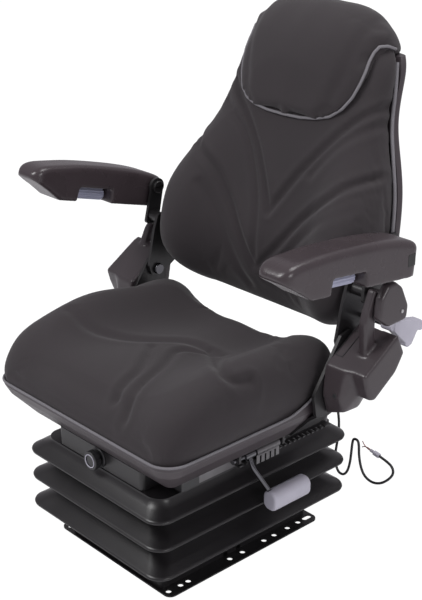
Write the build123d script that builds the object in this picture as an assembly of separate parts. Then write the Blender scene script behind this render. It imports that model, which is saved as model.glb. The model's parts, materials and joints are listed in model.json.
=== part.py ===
from build123d import *
from math import atan2, cos, degrees, hypot, pi, radians, sin, sqrt, tan
import os

# Air suspension seat with armrests and a reclining backrest.
# Millimetres. +X is the sitter's left, -Y is the front of the seat, +Z is up.
# The origin is the centre of the base's underside, on the floor it is bolted to.

# Base frame
BASE_WIDTH = 315.0
BASE_LENGTH = 380.0
SHEET = 3.0
BASE_CORNER = 14.0
UPSTAND_HALF_X = 129.0
UPSTAND_HALF_Y = 184.0
UPSTAND_HEIGHT = 29.0
UPSTAND_CORNER = 11.0
HOLE_LINE_X = 141.0
HOLE_RADIUS = 5.5
MOUNT_HOLE_Y = 150.0
EXTRA_HOLES_Y = (-178.0, -132.0, -30.0, 2.0, 58.0, 85.0, 121.0)
SLOT_Y = 174.0
SLOT_LENGTH = 22.0

# Bellows
BELLOWS_HALF_X = 188.0
BELLOWS_HALF_Y = 238.0
BELLOWS_CORNER = 34.0
BELLOWS_INSET = 38.0
BELLOWS_WALL = 3.0
RIDGE_HEIGHTS = (69.0, 126.0, 179.0)
RIDGE_LIP = 4.0
CUFF_GAP = 0.2

# Top frame
PLATE_Z = 206.0
PLATE = 4.0
PLATE_HALF_X = 165.0
PLATE_FRONT_Y = -167.0
PLATE_REAR_Y = 208.0
FRONT_BOX_HALF_X = 116.0
FRONT_BOX_Y = -212.0
FRONT_BOX_TOP = 241.0

# Scissor linkage
TRAVEL = 65.0
ARM_LENGTH = 330.0
PIVOT_Y = 165.0
BASE_PIVOT_Z = 28.0
SCISSOR_RISE = 140.0
OUTER_ARM_X = 115.0
INNER_ARM_X = 101.0
ARM_SHEET = 6.0
ARM_HALF_WIDTH = 13.0
PIN_RADIUS = 6.0
RUNNING = 0.05
PIVOT_PLAY = 1.3
ROLLER_RADIUS = 11.5
ROLLER_WIDTH = 12.0
TRACK_GAP = 1.2
TUBE_RADIUS = 9.0

# Air spring, damper, compressor
SPRING_X = 25.0
SPRING_Y = 50.0
SPRING_RADIUS = 56.0
SPRING_TOP = 186.0
PISTON_RADIUS = 38.0
PISTON_TOP = 62.0
DAMPER_X = -68.0
DAMPER_LOW_Y = 152.0
DAMPER_LOW_Z = 32.0
DAMPER_HIGH_Y = -85.0
DAMPER_HIGH_Z = 162.0
DAMPER_RADIUS = 13.0
ROD_RADIUS = 6.0
EYE_RADIUS = 13.0
EYE_WIDTH = 26.0
EYE_PLAY = 3.4
PUMP_RADIUS = 25.0
PUMP_Y = -82.0
PUMP_Z = 33.0
STOP_RADIUS = 14.0
STOP_GAP = 0.5

# Slide rails and their lock
RAIL_X = 145.0
RAIL_WIDTH = 40.0
RAIL_HEIGHT = 20.0
RAIL_SHEET = 2.5
RAIL_FRONT_Y = -165.0
RAIL_REAR_Y = 195.0
RAIL_SLOT = 18.0
RAIL_STEM = 8.0
RAIL_TOP_Z = 241.0
UPPER_RAIL_HALF = 105.0
SLIDE_TRAVEL = 58.0
RACK_FRONT_Y = -46.0
RACK_REAR_Y = 188.0
RACK_PITCH = 12.0
RACK_REACH = 15.0
LEVER_X = 178.0
LEVER_Z = 231.0
LEVER_ROD = 5.0

# Seat pan and cushion
PAN_HALF_X = 238.0
PAN_FRONT_Y = -262.0
PAN_REAR_Y = 152.0
PAN_RIM_Z = 311.0
PAN_FLOOR_Z = 244.0
PAN_WALL = 3.0
PAN_CORNER = 42.0
PAN_SLOPE = 48.0
CUSHION_GAP = 0.5

# Side plates, recliner and covers
HINGE_Y = 135.0
HINGE_Z = 418.0
HINGE_PIN = 7.0
SIDE_PLATE_X = 250.5
HINGE_ARM_X = 243.5
SIDE_SHEET = 6.0
COVER_X = 256.5
LOBE_X = 298.0
BOX_X = 314.0
COVER_FACE_X = 342.0
STRIP_X = 300.0
STRIP_FACE_X = 317.0
BRACKET_X = 279.0
EAR_X = 319.0
EAR_FACE_X = 335.0
PADDLE_X = 305.5
PADDLE_Y = 178.0
PADDLE_Z = 458.0
PADDLE_AXLE = 4.0

# Armrests
ARM_INNER_X = 291.0
ARM_WIDTH = 66.0
ARM_PIVOT_LEFT = (159.4, 605.9)
ARM_PIVOT_RIGHT = (167.3, 572.6)
ARM_PIVOT_IN_PROFILE = (-11.0, 33.0)
ARM_PIN = 6.0
TILT_LEFT = 5.8
TILT_RIGHT = 15.1
WHEEL_RADIUS = 12.0

# Height knob
KNOB_Z = 224.5
KNOB_RADIUS = 17.5
KNOB_FRONT_Y = -233.0

# Supply cable
CABLE_RADIUS = 2.5


def yz_plate(points, x0, x1, radius=0.0):
    """A flat plate whose outline is given in Y and Z, between two X positions."""
    outline = Polygon(*points, align=None)
    if radius:
        outline = fillet(outline.vertices(), radius)
    return extrude(Plane.YZ.offset(x0) * outline, x1 - x0, dir=(1, 0, 0))


def box(x0, x1, y0, y1, z0, z1):
    """A box between two corners."""
    centre = Pos((x0 + x1) / 2, (y0 + y1) / 2, (z0 + z1) / 2)
    return centre * Box(abs(x1 - x0), abs(y1 - y0), abs(z1 - z0))


def rod_x(x0, x1, y, z, radius):
    """A round bar along X."""
    return Pos((x0 + x1) / 2, y, z) * Rot(0, 90, 0) * Cylinder(radius, abs(x1 - x0))


def rod_y(x, y0, y1, z, radius):
    """A round bar along Y."""
    return Pos(x, (y0 + y1) / 2, z) * Rot(90, 0, 0) * Cylinder(radius, abs(y1 - y0))


def rod_z(x, y, z0, z1, radius):
    """A round bar along Z."""
    return Pos(x, y, (z0 + z1) / 2) * Cylinder(radius, abs(z1 - z0))


def both_sides(part):
    """The part and its mirror image across the seat's middle plane."""
    return part + mirror(part, about=Plane.YZ)


def other_side(part):
    """The mirror image across the seat's middle plane."""
    return mirror(part, about=Plane.YZ)


def rounded_loop(half_x, half_y, corner, z):
    """A rounded rectangle lying flat at height z."""
    return Pos(0, 0, z) * RectangleRounded(2 * half_x, 2 * half_y, corner)


# The scissor's geometry at rest follows from its arm length and its rise.
ARM_ANGLE = degrees(atan2(SCISSOR_RISE, sqrt(ARM_LENGTH**2 - SCISSOR_RISE**2)))
ARM_RUN = sqrt(ARM_LENGTH**2 - SCISSOR_RISE**2)
TOP_PIVOT_Z = BASE_PIVOT_Z + SCISSOR_RISE
ROLLER_Y = PIVOT_Y - ARM_RUN
CENTRE_Y = PIVOT_Y - ARM_RUN / 2
CENTRE_Z = BASE_PIVOT_Z + SCISSOR_RISE / 2
LOW_RISE = SCISSOR_RISE - TRAVEL
ROLLER_FRONT_Y = PIVOT_Y - sqrt(ARM_LENGTH**2 - LOW_RISE**2)


def track(web_x, inner_x, roller_z, web_z0, web_z1):
    """A channel along Y that a roller runs in, with its web on the outer side."""
    half = ROLLER_RADIUS + TRACK_GAP
    y0 = ROLLER_FRONT_Y - ROLLER_RADIUS - 4
    y1 = ROLLER_Y + ROLLER_RADIUS + 4
    web = box(web_x, web_x + SHEET, y0, y1, web_z0, web_z1)
    lower = box(inner_x, web_x, y0, y1, roller_z - half - SHEET, roller_z - half)
    upper = box(inner_x, web_x, y0, y1, roller_z + half, roller_z + half + SHEET)
    return web + lower + upper


def eye_bracket(pin_y, pin_z, foot_z):
    """Two ears and a pin that hold one end of the damper, reaching to foot_z."""
    ears = None
    for side in (-1, 1):
        x0 = DAMPER_X + side * (EYE_WIDTH / 2 + 2)
        x1 = x0 + side * SHEET
        ear = box(x0, x1, pin_y - 12, pin_y + 12, min(pin_z, foot_z), max(pin_z, foot_z))
        ear += rod_x(x0, x1, pin_y, pin_z, 12)
        ears = ear if ears is None else ears + ear
    span = EYE_WIDTH / 2 + 2 + SHEET
    return ears + rod_x(DAMPER_X - span - 3, DAMPER_X + span + 3, pin_y, pin_z, PIN_RADIUS)


STOP_PLACES = ((72.0, -26.0), (-26.0, 128.0))
STOP_TOP = PLATE_Z - TRAVEL - STOP_GAP
STOP_LENGTH = 45.0


def make_base_frame():
    """Floor sheet with outward flanges, a folded upstand, tracks, posts and pivot brackets."""
    floor = extrude(rounded_loop(BASE_WIDTH / 2, BASE_LENGTH / 2, BASE_CORNER, 0), SHEET)
    ring = extrude(rounded_loop(UPSTAND_HALF_X, UPSTAND_HALF_Y, UPSTAND_CORNER, SHEET),
                   UPSTAND_HEIGHT - SHEET)
    ring -= extrude(rounded_loop(UPSTAND_HALF_X - SHEET, UPSTAND_HALF_Y - SHEET,
                                 UPSTAND_CORNER - SHEET, SHEET), UPSTAND_HEIGHT)
    frame = floor + ring
    for y in (MOUNT_HOLE_Y, -MOUNT_HOLE_Y) + EXTRA_HOLES_Y:
        frame -= both_sides(rod_z(HOLE_LINE_X, y, -1, SHEET + 1, HOLE_RADIUS))
    slot = Pos(HOLE_LINE_X, SLOT_Y, -1) * Rot(0, 0, 90) * extrude(
        SlotOverall(SLOT_LENGTH, 2 * HOLE_RADIUS), SHEET + 2)
    frame -= both_sides(slot)
    for y in (-30.0, 2.0):
        frame -= both_sides(
            box(UPSTAND_HALF_X - SHEET - 1, UPSTAND_HALF_X + 1, y - 5, y + 5, SHEET, SHEET + 7))
    web_x = UPSTAND_HALF_X - 2 * SHEET
    low_top = BASE_PIVOT_Z + ROLLER_RADIUS + TRACK_GAP + SHEET
    frame += both_sides(track(web_x, INNER_ARM_X + ARM_SHEET + 1.5, BASE_PIVOT_Z, SHEET, low_top))
    bracket = box(web_x, web_x + SHEET, PIVOT_Y - 18, PIVOT_Y + 15, SHEET, BASE_PIVOT_Z)
    bracket += rod_x(web_x, web_x + SHEET, PIVOT_Y, BASE_PIVOT_Z, 15)
    bracket -= rod_x(web_x - 1, web_x + SHEET + 1, PIVOT_Y, BASE_PIVOT_Z, PIN_RADIUS)
    frame += both_sides(bracket)
    frame += eye_bracket(DAMPER_LOW_Y, DAMPER_LOW_Z, SHEET)
    for x, y in STOP_PLACES:
        frame += rod_z(x, y, SHEET, STOP_TOP - STOP_LENGTH, STOP_RADIUS - 3)
    return frame


def make_bump_stops():
    """Tapered rubber buffers that end the suspension's travel."""
    stops = []
    for x, y in STOP_PLACES:
        low = STOP_TOP - STOP_LENGTH
        foot = Pos(x, y, low) * Circle(STOP_RADIUS)
        tip = Pos(x, y, STOP_TOP) * Circle(STOP_RADIUS - 5)
        stops.append(loft([foot, tip]))
    return Compound(stops)


def bellows_stations():
    """Height, inset and corner radius of each station from the cuff to the top rim."""
    cuff_inset = BELLOWS_HALF_X - UPSTAND_HALF_X - BELLOWS_WALL - CUFF_GAP
    cuff_corner = UPSTAND_CORNER + BELLOWS_WALL + CUFF_GAP
    deep = BELLOWS_INSET
    stations = [(UPSTAND_HEIGHT - 8, cuff_inset, cuff_corner),
                (UPSTAND_HEIGHT + 1, cuff_inset, cuff_corner)]
    heights = list(RIDGE_HEIGHTS)
    for i, z in enumerate(heights):
        stations.append((z - RIDGE_LIP, RIDGE_LIP * 0.6, BELLOWS_CORNER - 3))
        stations.append((z, 0.0, BELLOWS_CORNER))
        stations.append((z + RIDGE_LIP, RIDGE_LIP * 0.6, BELLOWS_CORNER - 3))
        if i + 1 < len(heights):
            middle = (z + heights[i + 1]) / 2
            stations.append((middle - 2, deep, BELLOWS_CORNER / 2))
            stations.append((middle + 2, deep, BELLOWS_CORNER / 2))
    stations.append((PLATE_Z - 3, 27.0, BELLOWS_CORNER * 0.6))
    stations.append((PLATE_Z, 27.0, BELLOWS_CORNER * 0.6))
    return stations


def make_bellows():
    """A rubber bellows of three folds with an open inside."""
    outer = []
    inner = []
    cuff_y = BELLOWS_HALF_Y - UPSTAND_HALF_Y - BELLOWS_WALL - CUFF_GAP
    for i, (z, inset, corner) in enumerate(bellows_stations()):
        inset_y = cuff_y if i < 2 else inset * 1.08
        outer.append(rounded_loop(BELLOWS_HALF_X - inset, BELLOWS_HALF_Y - inset_y, corner, z))
        half_x = BELLOWS_HALF_X - inset - BELLOWS_WALL
        half_y = BELLOWS_HALF_Y - inset_y - BELLOWS_WALL
        inner.append(rounded_loop(half_x, half_y, max(corner - BELLOWS_WALL, 6), z))
    return loft(outer, ruled=True) - loft(inner, ruled=True)


def scissor_arm(x, low_y, low_z, high_y, high_z):
    """One flat arm with round ends, between two pivot points."""
    run = high_y - low_y
    rise = high_z - low_z
    length = hypot(run, rise)
    angle = degrees(atan2(rise, run))
    blank = extrude(SlotCenterToCenter(length, 2 * ARM_HALF_WIDTH), ARM_SHEET)
    window = extrude(SlotOverall(length * 0.27, ARM_HALF_WIDTH), ARM_SHEET)
    for side in (-1, 1):
        blank -= Pos(side * length * 0.26, 0, 0) * window
    place = Plane(origin=(x, (low_y + high_y) / 2, (low_z + high_z) / 2),
                  x_dir=(0, cos(radians(angle)), sin(radians(angle))), z_dir=(1, 0, 0))
    return place * blank


def make_outer_arms():
    """Two outer arms, joined by a tube at their front ends, with the roller stubs."""
    arm = scissor_arm(OUTER_ARM_X, PIVOT_Y, BASE_PIVOT_Z, ROLLER_Y, TOP_PIVOT_Z)
    x1 = OUTER_ARM_X + ARM_SHEET
    arm -= rod_x(OUTER_ARM_X - 1, x1 + 1, PIVOT_Y, BASE_PIVOT_Z, PIN_RADIUS + RUNNING)
    arm -= rod_x(OUTER_ARM_X - 1, x1 + 1, CENTRE_Y, CENTRE_Z, PIN_RADIUS + PIVOT_PLAY)
    arm += rod_x(x1, x1 + ROLLER_WIDTH + 3, ROLLER_Y, TOP_PIVOT_Z, PIN_RADIUS)
    return both_sides(arm) + rod_x(-OUTER_ARM_X, OUTER_ARM_X, ROLLER_Y, TOP_PIVOT_Z, TUBE_RADIUS)


def make_inner_arms():
    """Two inner arms, joined by a tube at their front ends, with the roller stubs."""
    arm = scissor_arm(INNER_ARM_X, ROLLER_Y, BASE_PIVOT_Z, PIVOT_Y, TOP_PIVOT_Z)
    x1 = INNER_ARM_X + ARM_SHEET
    arm -= rod_x(INNER_ARM_X - 1, x1 + 1, PIVOT_Y, TOP_PIVOT_Z, PIN_RADIUS + RUNNING)
    arm -= rod_x(INNER_ARM_X - 1, x1 + 1, CENTRE_Y, CENTRE_Z, PIN_RADIUS)
    arm += rod_x(x1, x1 + ROLLER_WIDTH + 3, ROLLER_Y, BASE_PIVOT_Z, PIN_RADIUS)
    return both_sides(arm) + rod_x(-INNER_ARM_X, INNER_ARM_X, ROLLER_Y, BASE_PIVOT_Z, TUBE_RADIUS)


def make_centre_bolts():
    """Shouldered bolts at the crossing of the arms, fixed in the inner pair."""
    x1 = OUTER_ARM_X + ARM_SHEET
    bolt = rod_x(INNER_ARM_X - 3, x1 + 1, CENTRE_Y, CENTRE_Z, PIN_RADIUS)
    bolt += rod_x(INNER_ARM_X - 3, INNER_ARM_X, CENTRE_Y, CENTRE_Z, PIN_RADIUS + 4)
    bolt += rod_x(x1 + 1, x1 + 4, CENTRE_Y, CENTRE_Z, PIN_RADIUS + 4)
    return Compound([bolt, other_side(bolt)])


def make_base_pins():
    """Pivot pins of the outer arms, fixed in the base."""
    pin = rod_x(OUTER_ARM_X - 4, UPSTAND_HALF_X - SHEET, PIVOT_Y, BASE_PIVOT_Z, PIN_RADIUS)
    pin += rod_x(OUTER_ARM_X - 4, OUTER_ARM_X - 1, PIVOT_Y, BASE_PIVOT_Z, PIN_RADIUS + 3)
    return Compound([pin, other_side(pin)])


def make_top_pins():
    """Pivot pins of the inner arms, fixed in the top frame."""
    x1 = INNER_ARM_X + ARM_SHEET
    pin = rod_x(INNER_ARM_X - 10, x1 + 4, PIVOT_Y, TOP_PIVOT_Z, PIN_RADIUS)
    pin += rod_x(x1 + 1, x1 + 4, PIVOT_Y, TOP_PIVOT_Z, PIN_RADIUS + 2)
    return Compound([pin, other_side(pin)])


def make_roller(x, z):
    """A plain plastic roller with a rounded rim, running on its stub."""
    roller = rod_x(x, x + ROLLER_WIDTH, ROLLER_Y, z, ROLLER_RADIUS)
    roller = chamfer(roller.edges(), 1.2)
    return roller - rod_x(x - 1, x + ROLLER_WIDTH + 1, ROLLER_Y, z, PIN_RADIUS + RUNNING)


def make_air_spring_piston():
    """The lower half of the air spring, screwed to the floor sheet."""
    foot = Pos(SPRING_X, SPRING_Y, SHEET) * Circle(PISTON_RADIUS + 6)
    neck = Pos(SPRING_X, SPRING_Y, PISTON_TOP) * Circle(PISTON_RADIUS)
    return loft([foot, neck])


def make_air_spring_sleeve():
    """The rubber sleeve of the air spring: a revolved wall that rolls over the piston."""
    wall = 4.0
    low = PISTON_TOP
    points = [
        (PISTON_RADIUS, low - 12), (PISTON_RADIUS + wall, low - 12),
        (SPRING_RADIUS, low + 6), (SPRING_RADIUS, SPRING_TOP - 22),
        (SPRING_RADIUS - 10, SPRING_TOP), (SPRING_RADIUS - 10 - wall, SPRING_TOP),
        (SPRING_RADIUS - wall, SPRING_TOP - 24), (SPRING_RADIUS - wall, low + 8),
        (PISTON_RADIUS, low + 2)]
    profile = Plane.XZ * Polygon(*points, align=None)
    sleeve = revolve(profile, Axis.Z)
    piston = Pos(-SPRING_X, -SPRING_Y, 0) * make_air_spring_piston()
    return Pos(SPRING_X, SPRING_Y, 0) * (sleeve - piston)


def make_air_spring_cap():
    """The upper bead plate of the air spring, under the top plate."""
    cap = rod_z(SPRING_X, SPRING_Y, SPRING_TOP, SPRING_TOP + 6, SPRING_RADIUS - 10)
    return cap + rod_z(SPRING_X, SPRING_Y, SPRING_TOP + 6, PLATE_Z, SPRING_RADIUS - 26)


def make_pump():
    """The electric air pump lying across the front of the base."""
    body = rod_x(-50, 22, PUMP_Y, PUMP_Z, PUMP_RADIUS - 3)
    head = rod_x(22, 62, PUMP_Y, PUMP_Z, PUMP_RADIUS - 9)
    for i in range(4):
        head += rod_x(25 + 9 * i, 29 + 9 * i, PUMP_Y, PUMP_Z, PUMP_RADIUS - 3)
    saddle = box(-40, 12, PUMP_Y - 16, PUMP_Y + 16, SHEET, PUMP_Z - 8)
    return body + head + saddle


DAMPER_RUN = DAMPER_HIGH_Y - DAMPER_LOW_Y
DAMPER_RISE = DAMPER_HIGH_Z - DAMPER_LOW_Z
DAMPER_LENGTH = hypot(DAMPER_RUN, DAMPER_RISE)
DAMPER_PLANE = Plane(
    origin=(DAMPER_X, DAMPER_LOW_Y, DAMPER_LOW_Z),
    x_dir=(1, 0, 0),
    z_dir=(0, DAMPER_RUN / DAMPER_LENGTH, DAMPER_RISE / DAMPER_LENGTH))


def along_damper(start, end, radius):
    """A round bar on the damper's axis, between two distances from its lower eye."""
    return DAMPER_PLANE * Pos(0, 0, (start + end) / 2) * Cylinder(radius, end - start)


def damper_eye(y, z, bore):
    """An eye of the damper with its bore."""
    x0 = DAMPER_X - EYE_WIDTH / 2
    x1 = DAMPER_X + EYE_WIDTH / 2
    return rod_x(x0, x1, y, z, EYE_RADIUS) - rod_x(x0 - 1, x1 + 1, y, z, bore)


BODY_END = DAMPER_LENGTH * 0.62


def make_damper_body():
    """The damper's tube, closed below and guided round its rod above."""
    tube = along_damper(EYE_RADIUS - 3, BODY_END, DAMPER_RADIUS)
    tube -= along_damper(EYE_RADIUS + 20, BODY_END - 8, DAMPER_RADIUS - 2.5)
    tube -= along_damper(BODY_END - 9, BODY_END + 1, ROD_RADIUS + 0.08)
    tube -= rod_x(DAMPER_X - 20, DAMPER_X + 20, DAMPER_LOW_Y, DAMPER_LOW_Z, EYE_RADIUS - 1)
    return tube + damper_eye(DAMPER_LOW_Y, DAMPER_LOW_Z, PIN_RADIUS + RUNNING)


def make_damper_rod():
    """The damper's rod with its upper eye, whose bore leaves play round the pin."""
    eye_y = DAMPER_LOW_Y + DAMPER_RUN
    rod = along_damper(EYE_RADIUS + 60, DAMPER_LENGTH - EYE_RADIUS + 2, ROD_RADIUS)
    rod += along_damper(EYE_RADIUS + 60, EYE_RADIUS + 68, DAMPER_RADIUS - 3)
    return rod + damper_eye(eye_y, DAMPER_HIGH_Z, PIN_RADIUS + EYE_PLAY)


def make_top_frame():
    """Top plate with a front box for the height control, tracks and pivot brackets below."""
    plate = box(-PLATE_HALF_X, PLATE_HALF_X, PLATE_FRONT_Y, PLATE_REAR_Y, PLATE_Z, PLATE_Z + PLATE)
    plate = fillet(plate.edges().filter_by(Axis.Z), 12)
    front = box(-FRONT_BOX_HALF_X, FRONT_BOX_HALF_X, FRONT_BOX_Y, PLATE_FRONT_Y + 10,
                PLATE_Z, FRONT_BOX_TOP)
    front = fillet(front.edges().filter_by(Axis.Z), 8)
    front -= box(-FRONT_BOX_HALF_X + SHEET, FRONT_BOX_HALF_X - SHEET, FRONT_BOX_Y + SHEET,
                 PLATE_FRONT_Y + 20, PLATE_Z + PLATE, FRONT_BOX_TOP - SHEET)
    frame = plate + front
    frame -= rod_y(0, FRONT_BOX_Y - 2, FRONT_BOX_Y + SHEET + 1, KNOB_Z, 9)
    outer_web_x = OUTER_ARM_X + ARM_SHEET + ROLLER_WIDTH + 4
    track_low = TOP_PIVOT_Z - ROLLER_RADIUS - TRACK_GAP - SHEET
    frame += both_sides(
        track(outer_web_x, OUTER_ARM_X + ARM_SHEET + 1.5, TOP_PIVOT_Z, track_low, PLATE_Z))
    bracket_x = INNER_ARM_X - 10
    bracket = box(bracket_x, bracket_x + SHEET * 2, PIVOT_Y - 18, PIVOT_Y + 15, TOP_PIVOT_Z, PLATE_Z)
    bracket += rod_x(bracket_x, bracket_x + SHEET * 2, PIVOT_Y, TOP_PIVOT_Z, 15)
    bracket -= rod_x(bracket_x - 1, bracket_x + SHEET * 2 + 1, PIVOT_Y, TOP_PIVOT_Z, PIN_RADIUS)
    frame += both_sides(bracket)
    frame += eye_bracket(DAMPER_HIGH_Y, DAMPER_HIGH_Z, PLATE_Z)
    tab = box(GLAND_X - 14, GLAND_X + 14, GLAND_Y - 4, GLAND_Y, PLATE_Z + PLATE, GLAND_Z + 12)
    tab -= rod_y(GLAND_X, GLAND_Y - 6, GLAND_Y + 1, GLAND_Z, CABLE_RADIUS + 3)
    return frame + tab


GLAND_X = 108.0
GLAND_Y = PLATE_REAR_Y - 2
GLAND_Z = PLATE_Z + PLATE + 11
GLAND_LENGTH = 26.0


def make_gland():
    """The cable's strain relief, clipped into its tab and tapering to the rear."""
    shank = rod_y(GLAND_X, GLAND_Y - 10, GLAND_Y, GLAND_Z, CABLE_RADIUS + 3)
    collar = rod_y(GLAND_X, GLAND_Y, GLAND_Y + 4, GLAND_Z, CABLE_RADIUS + 5)
    base = Plane(origin=(GLAND_X, GLAND_Y + 4, GLAND_Z), x_dir=(1, 0, 0), z_dir=(0, 1, 0))
    cone = loft([base * Circle(CABLE_RADIUS + 3.5),
                 base.offset(GLAND_LENGTH - 4) * Circle(CABLE_RADIUS + 1.2)])
    bore = rod_y(GLAND_X, GLAND_Y - 11, GLAND_Y + GLAND_LENGTH + 1, GLAND_Z, CABLE_RADIUS)
    return shank + collar + cone - bore


# The cable hangs behind the bellows, folds once and comes up to its connector.
CABLE_ROUTE = (
    (GLAND_X, GLAND_Y - 8, GLAND_Z),
    (GLAND_X, 258.0, GLAND_Z),
    (114.0, 279.0, 203.0),
    (124.0, 278.0, 168.0),
    (131.0, 268.0, 138.0),
    (132.5, 260.0, 108.0),
    (136.0, 258.0, 86.0),
    (144.0, 258.0, 71.0),
    (157.0, 258.0, 70.0),
    (167.0, 258.0, 82.0),
    (172.5, 258.0, 104.0),
    (174.5, 258.0, 130.0),
    (175.5, 258.0, 147.0),
    (178.0, 258.0, 159.0),
    (189.0, 258.5, 159.0),
    (191.5, 259.0, 147.0),
    (192.5, 259.0, 128.0),
    (198.0, 259.5, 104.0),
    (208.0, 260.0, 88.0),
    (226.0, 260.5, 82.0),
    (246.0, 261.0, 88.0),
    (264.0, 261.5, 104.0),
    (275.0, 262.0, 121.0),
    (271.0, 262.5, 134.0),
    (256.0, 263.0, 140.0),
    (238.0, 263.5, 143.0),
)


def route_radii(points):
    """The arc at each inner point, as large as its two runs allow."""
    radii = []
    for a, b, c in zip(points, points[1:], points[2:]):
        first = Vector(*b) - Vector(*a)
        second = Vector(*c) - Vector(*b)
        turn = radians(first.get_angle(second))
        radii.append(0.45 * min(first.length, second.length) / tan(turn / 2))
    return radii


def tube_along(points, radius):
    """A solid round tube along straight runs joined by tangent arcs."""
    radii = route_radii(points)
    path = FilletPolyline(*points, radius=radii)
    start = Vector(*points[0])
    ahead = Vector(*points[1]) - start
    section = Plane(origin=start, z_dir=ahead) * Circle(radius)
    tube = sweep(section, path=path)
    wanted = pi * radius**2 * path.length
    print("tube length", round(path.length, 1), "radii", [round(r, 1) for r in radii])
    print("tube volume over section times length", round(tube.volume / wanted, 4))
    return tube


def make_cable():
    """The supply cable."""
    return tube_along(CABLE_ROUTE, CABLE_RADIUS)


def connector_plane():
    """The cable's end face, looking out of the cable."""
    end = Vector(*CABLE_ROUTE[-1])
    before = Vector(*CABLE_ROUTE[-2])
    return Plane(origin=end, z_dir=end - before)


CONNECTOR_LENGTH = 22.0


def make_connector():
    """The crimped joint on the cable's end: a flat sleeve with a collar."""
    end = connector_plane()
    sleeve = extrude(end * RectangleRounded(8.0, 9.0, 2.5), CONNECTOR_LENGTH * 0.6)
    tail = extrude(end.offset(CONNECTOR_LENGTH * 0.6) * Circle(3.0), CONNECTOR_LENGTH * 0.4)
    return sleeve + tail


def make_wires():
    """Two bare-ended leads that come out of the connector."""
    end = connector_plane().offset(CONNECTOR_LENGTH)
    start = end.origin
    ahead = end.z_dir
    wires = []
    for side, bend in ((-1.2, Vector(-9, 5, -7)), (1.4, Vector(-7, 3, 4))):
        first = start + end.x_dir * side
        second = first + ahead * 8
        third = second + ahead * 6 + bend * 0.6
        fourth = third + bend
        points = [tuple(p) for p in (first, second, third, fourth)]
        wires.append(tube_along(points, 0.9))
    return Compound(wires)


def make_air_valve():
    """The height valve behind the front panel."""
    body = box(-20, 20, FRONT_BOX_Y + 16, FRONT_BOX_Y + 52, PLATE_Z + PLATE, PLATE_Z + PLATE + 26)
    body = fillet(body.edges().filter_by(Axis.Y), 3)
    port = rod_x(20, 34, FRONT_BOX_Y + 40, KNOB_Z - 4, 4)
    body += port
    return body - rod_y(0, FRONT_BOX_Y + 15, FRONT_BOX_Y + 34, KNOB_Z, 5.6)


def make_knob_bezel():
    """A ring clipped round the knob's hole in the front panel."""
    ring = rod_y(0, FRONT_BOX_Y - 3.5, FRONT_BOX_Y, KNOB_Z, KNOB_RADIUS + 1)
    neck = rod_y(0, FRONT_BOX_Y, FRONT_BOX_Y + SHEET + 2, KNOB_Z, 9)
    ring = chamfer(ring.faces().sort_by(Axis.Y)[0].edges(), 1.5)
    return ring + neck - rod_y(0, FRONT_BOX_Y - 5, FRONT_BOX_Y + SHEET + 3, KNOB_Z, 6)


KNOB_STROKE = 5.0


def make_height_knob():
    """A push-pull knob: a dished disc with a rim, on a stem that reaches into the valve."""
    rear_y = FRONT_BOX_Y - 3.5 - KNOB_STROKE - 0.5
    disc = rod_y(0, KNOB_FRONT_Y, rear_y, KNOB_Z, KNOB_RADIUS)
    disc = fillet(disc.faces().sort_by(Axis.Y)[0].edges(), 2)
    disc -= rod_y(0, KNOB_FRONT_Y - 1, KNOB_FRONT_Y + 1, KNOB_Z, KNOB_RADIUS - 4)
    for i in range(12):
        place = Pos(0, 0, KNOB_Z) * Rot(0, 30 * i, 0)
        disc -= place * rod_y(KNOB_RADIUS + 1.2, KNOB_FRONT_Y + 4, rear_y + 1, 0, 2)
    return disc + rod_y(0, rear_y, FRONT_BOX_Y + 26, KNOB_Z, 5.5)


def make_lower_rail():
    """A fixed rail: a channel whose lips leave a slot for the moving rail."""
    z0 = PLATE_Z + PLATE
    x0 = RAIL_X - RAIL_WIDTH / 2
    x1 = RAIL_X + RAIL_WIDTH / 2
    z1 = z0 + RAIL_HEIGHT
    rail = box(x0, x1, RAIL_FRONT_Y, RAIL_REAR_Y, z0, z1)
    rail = fillet(rail.edges().filter_by(Axis.Y).group_by(Axis.Z)[-1], 2)
    rail -= box(x0 + RAIL_SHEET, x1 - RAIL_SHEET, RAIL_FRONT_Y - 1, RAIL_REAR_Y + 1,
                z0 + RAIL_SHEET, z1 - RAIL_SHEET)
    return rail - box(RAIL_X - RAIL_SLOT / 2, RAIL_X + RAIL_SLOT / 2, RAIL_FRONT_Y - 1,
                      RAIL_REAR_Y + 1, z0 + RAIL_SHEET, z1 + 1)


FOOT_HALF = RAIL_WIDTH / 2 - RAIL_SHEET - 1.0
FOOT_TOP = PLATE_Z + PLATE + RAIL_HEIGHT - RAIL_SHEET - 0.8
FOOT_SHEET = 3.0


def make_upper_rail():
    """A moving rail: a foot inside the channel, a stem through the slot and a top flange."""
    foot = box(RAIL_X - FOOT_HALF, RAIL_X + FOOT_HALF, -UPPER_RAIL_HALF, UPPER_RAIL_HALF,
               FOOT_TOP - FOOT_SHEET, FOOT_TOP)
    stem = box(RAIL_X - RAIL_STEM / 2, RAIL_X + RAIL_STEM / 2, -UPPER_RAIL_HALF,
               UPPER_RAIL_HALF, FOOT_TOP, RAIL_TOP_Z)
    top = box(RAIL_X - RAIL_WIDTH / 2, RAIL_X + RAIL_WIDTH / 2, -UPPER_RAIL_HALF - 30,
              UPPER_RAIL_HALF + 10, RAIL_TOP_Z, PAN_FLOOR_Z)
    return foot + stem + top


def make_rail_glides():
    """Plastic pads that carry the moving rails in the channels."""
    z0 = PLATE_Z + PLATE + RAIL_SHEET + 0.3
    pads = []
    for side in (-1, 1):
        for y in (-UPPER_RAIL_HALF, UPPER_RAIL_HALF - 30):
            x = side * RAIL_X
            pads.append(box(x - FOOT_HALF, x + FOOT_HALF, y, y + 30, z0, FOOT_TOP - FOOT_SHEET))
    return Compound(pads)


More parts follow.
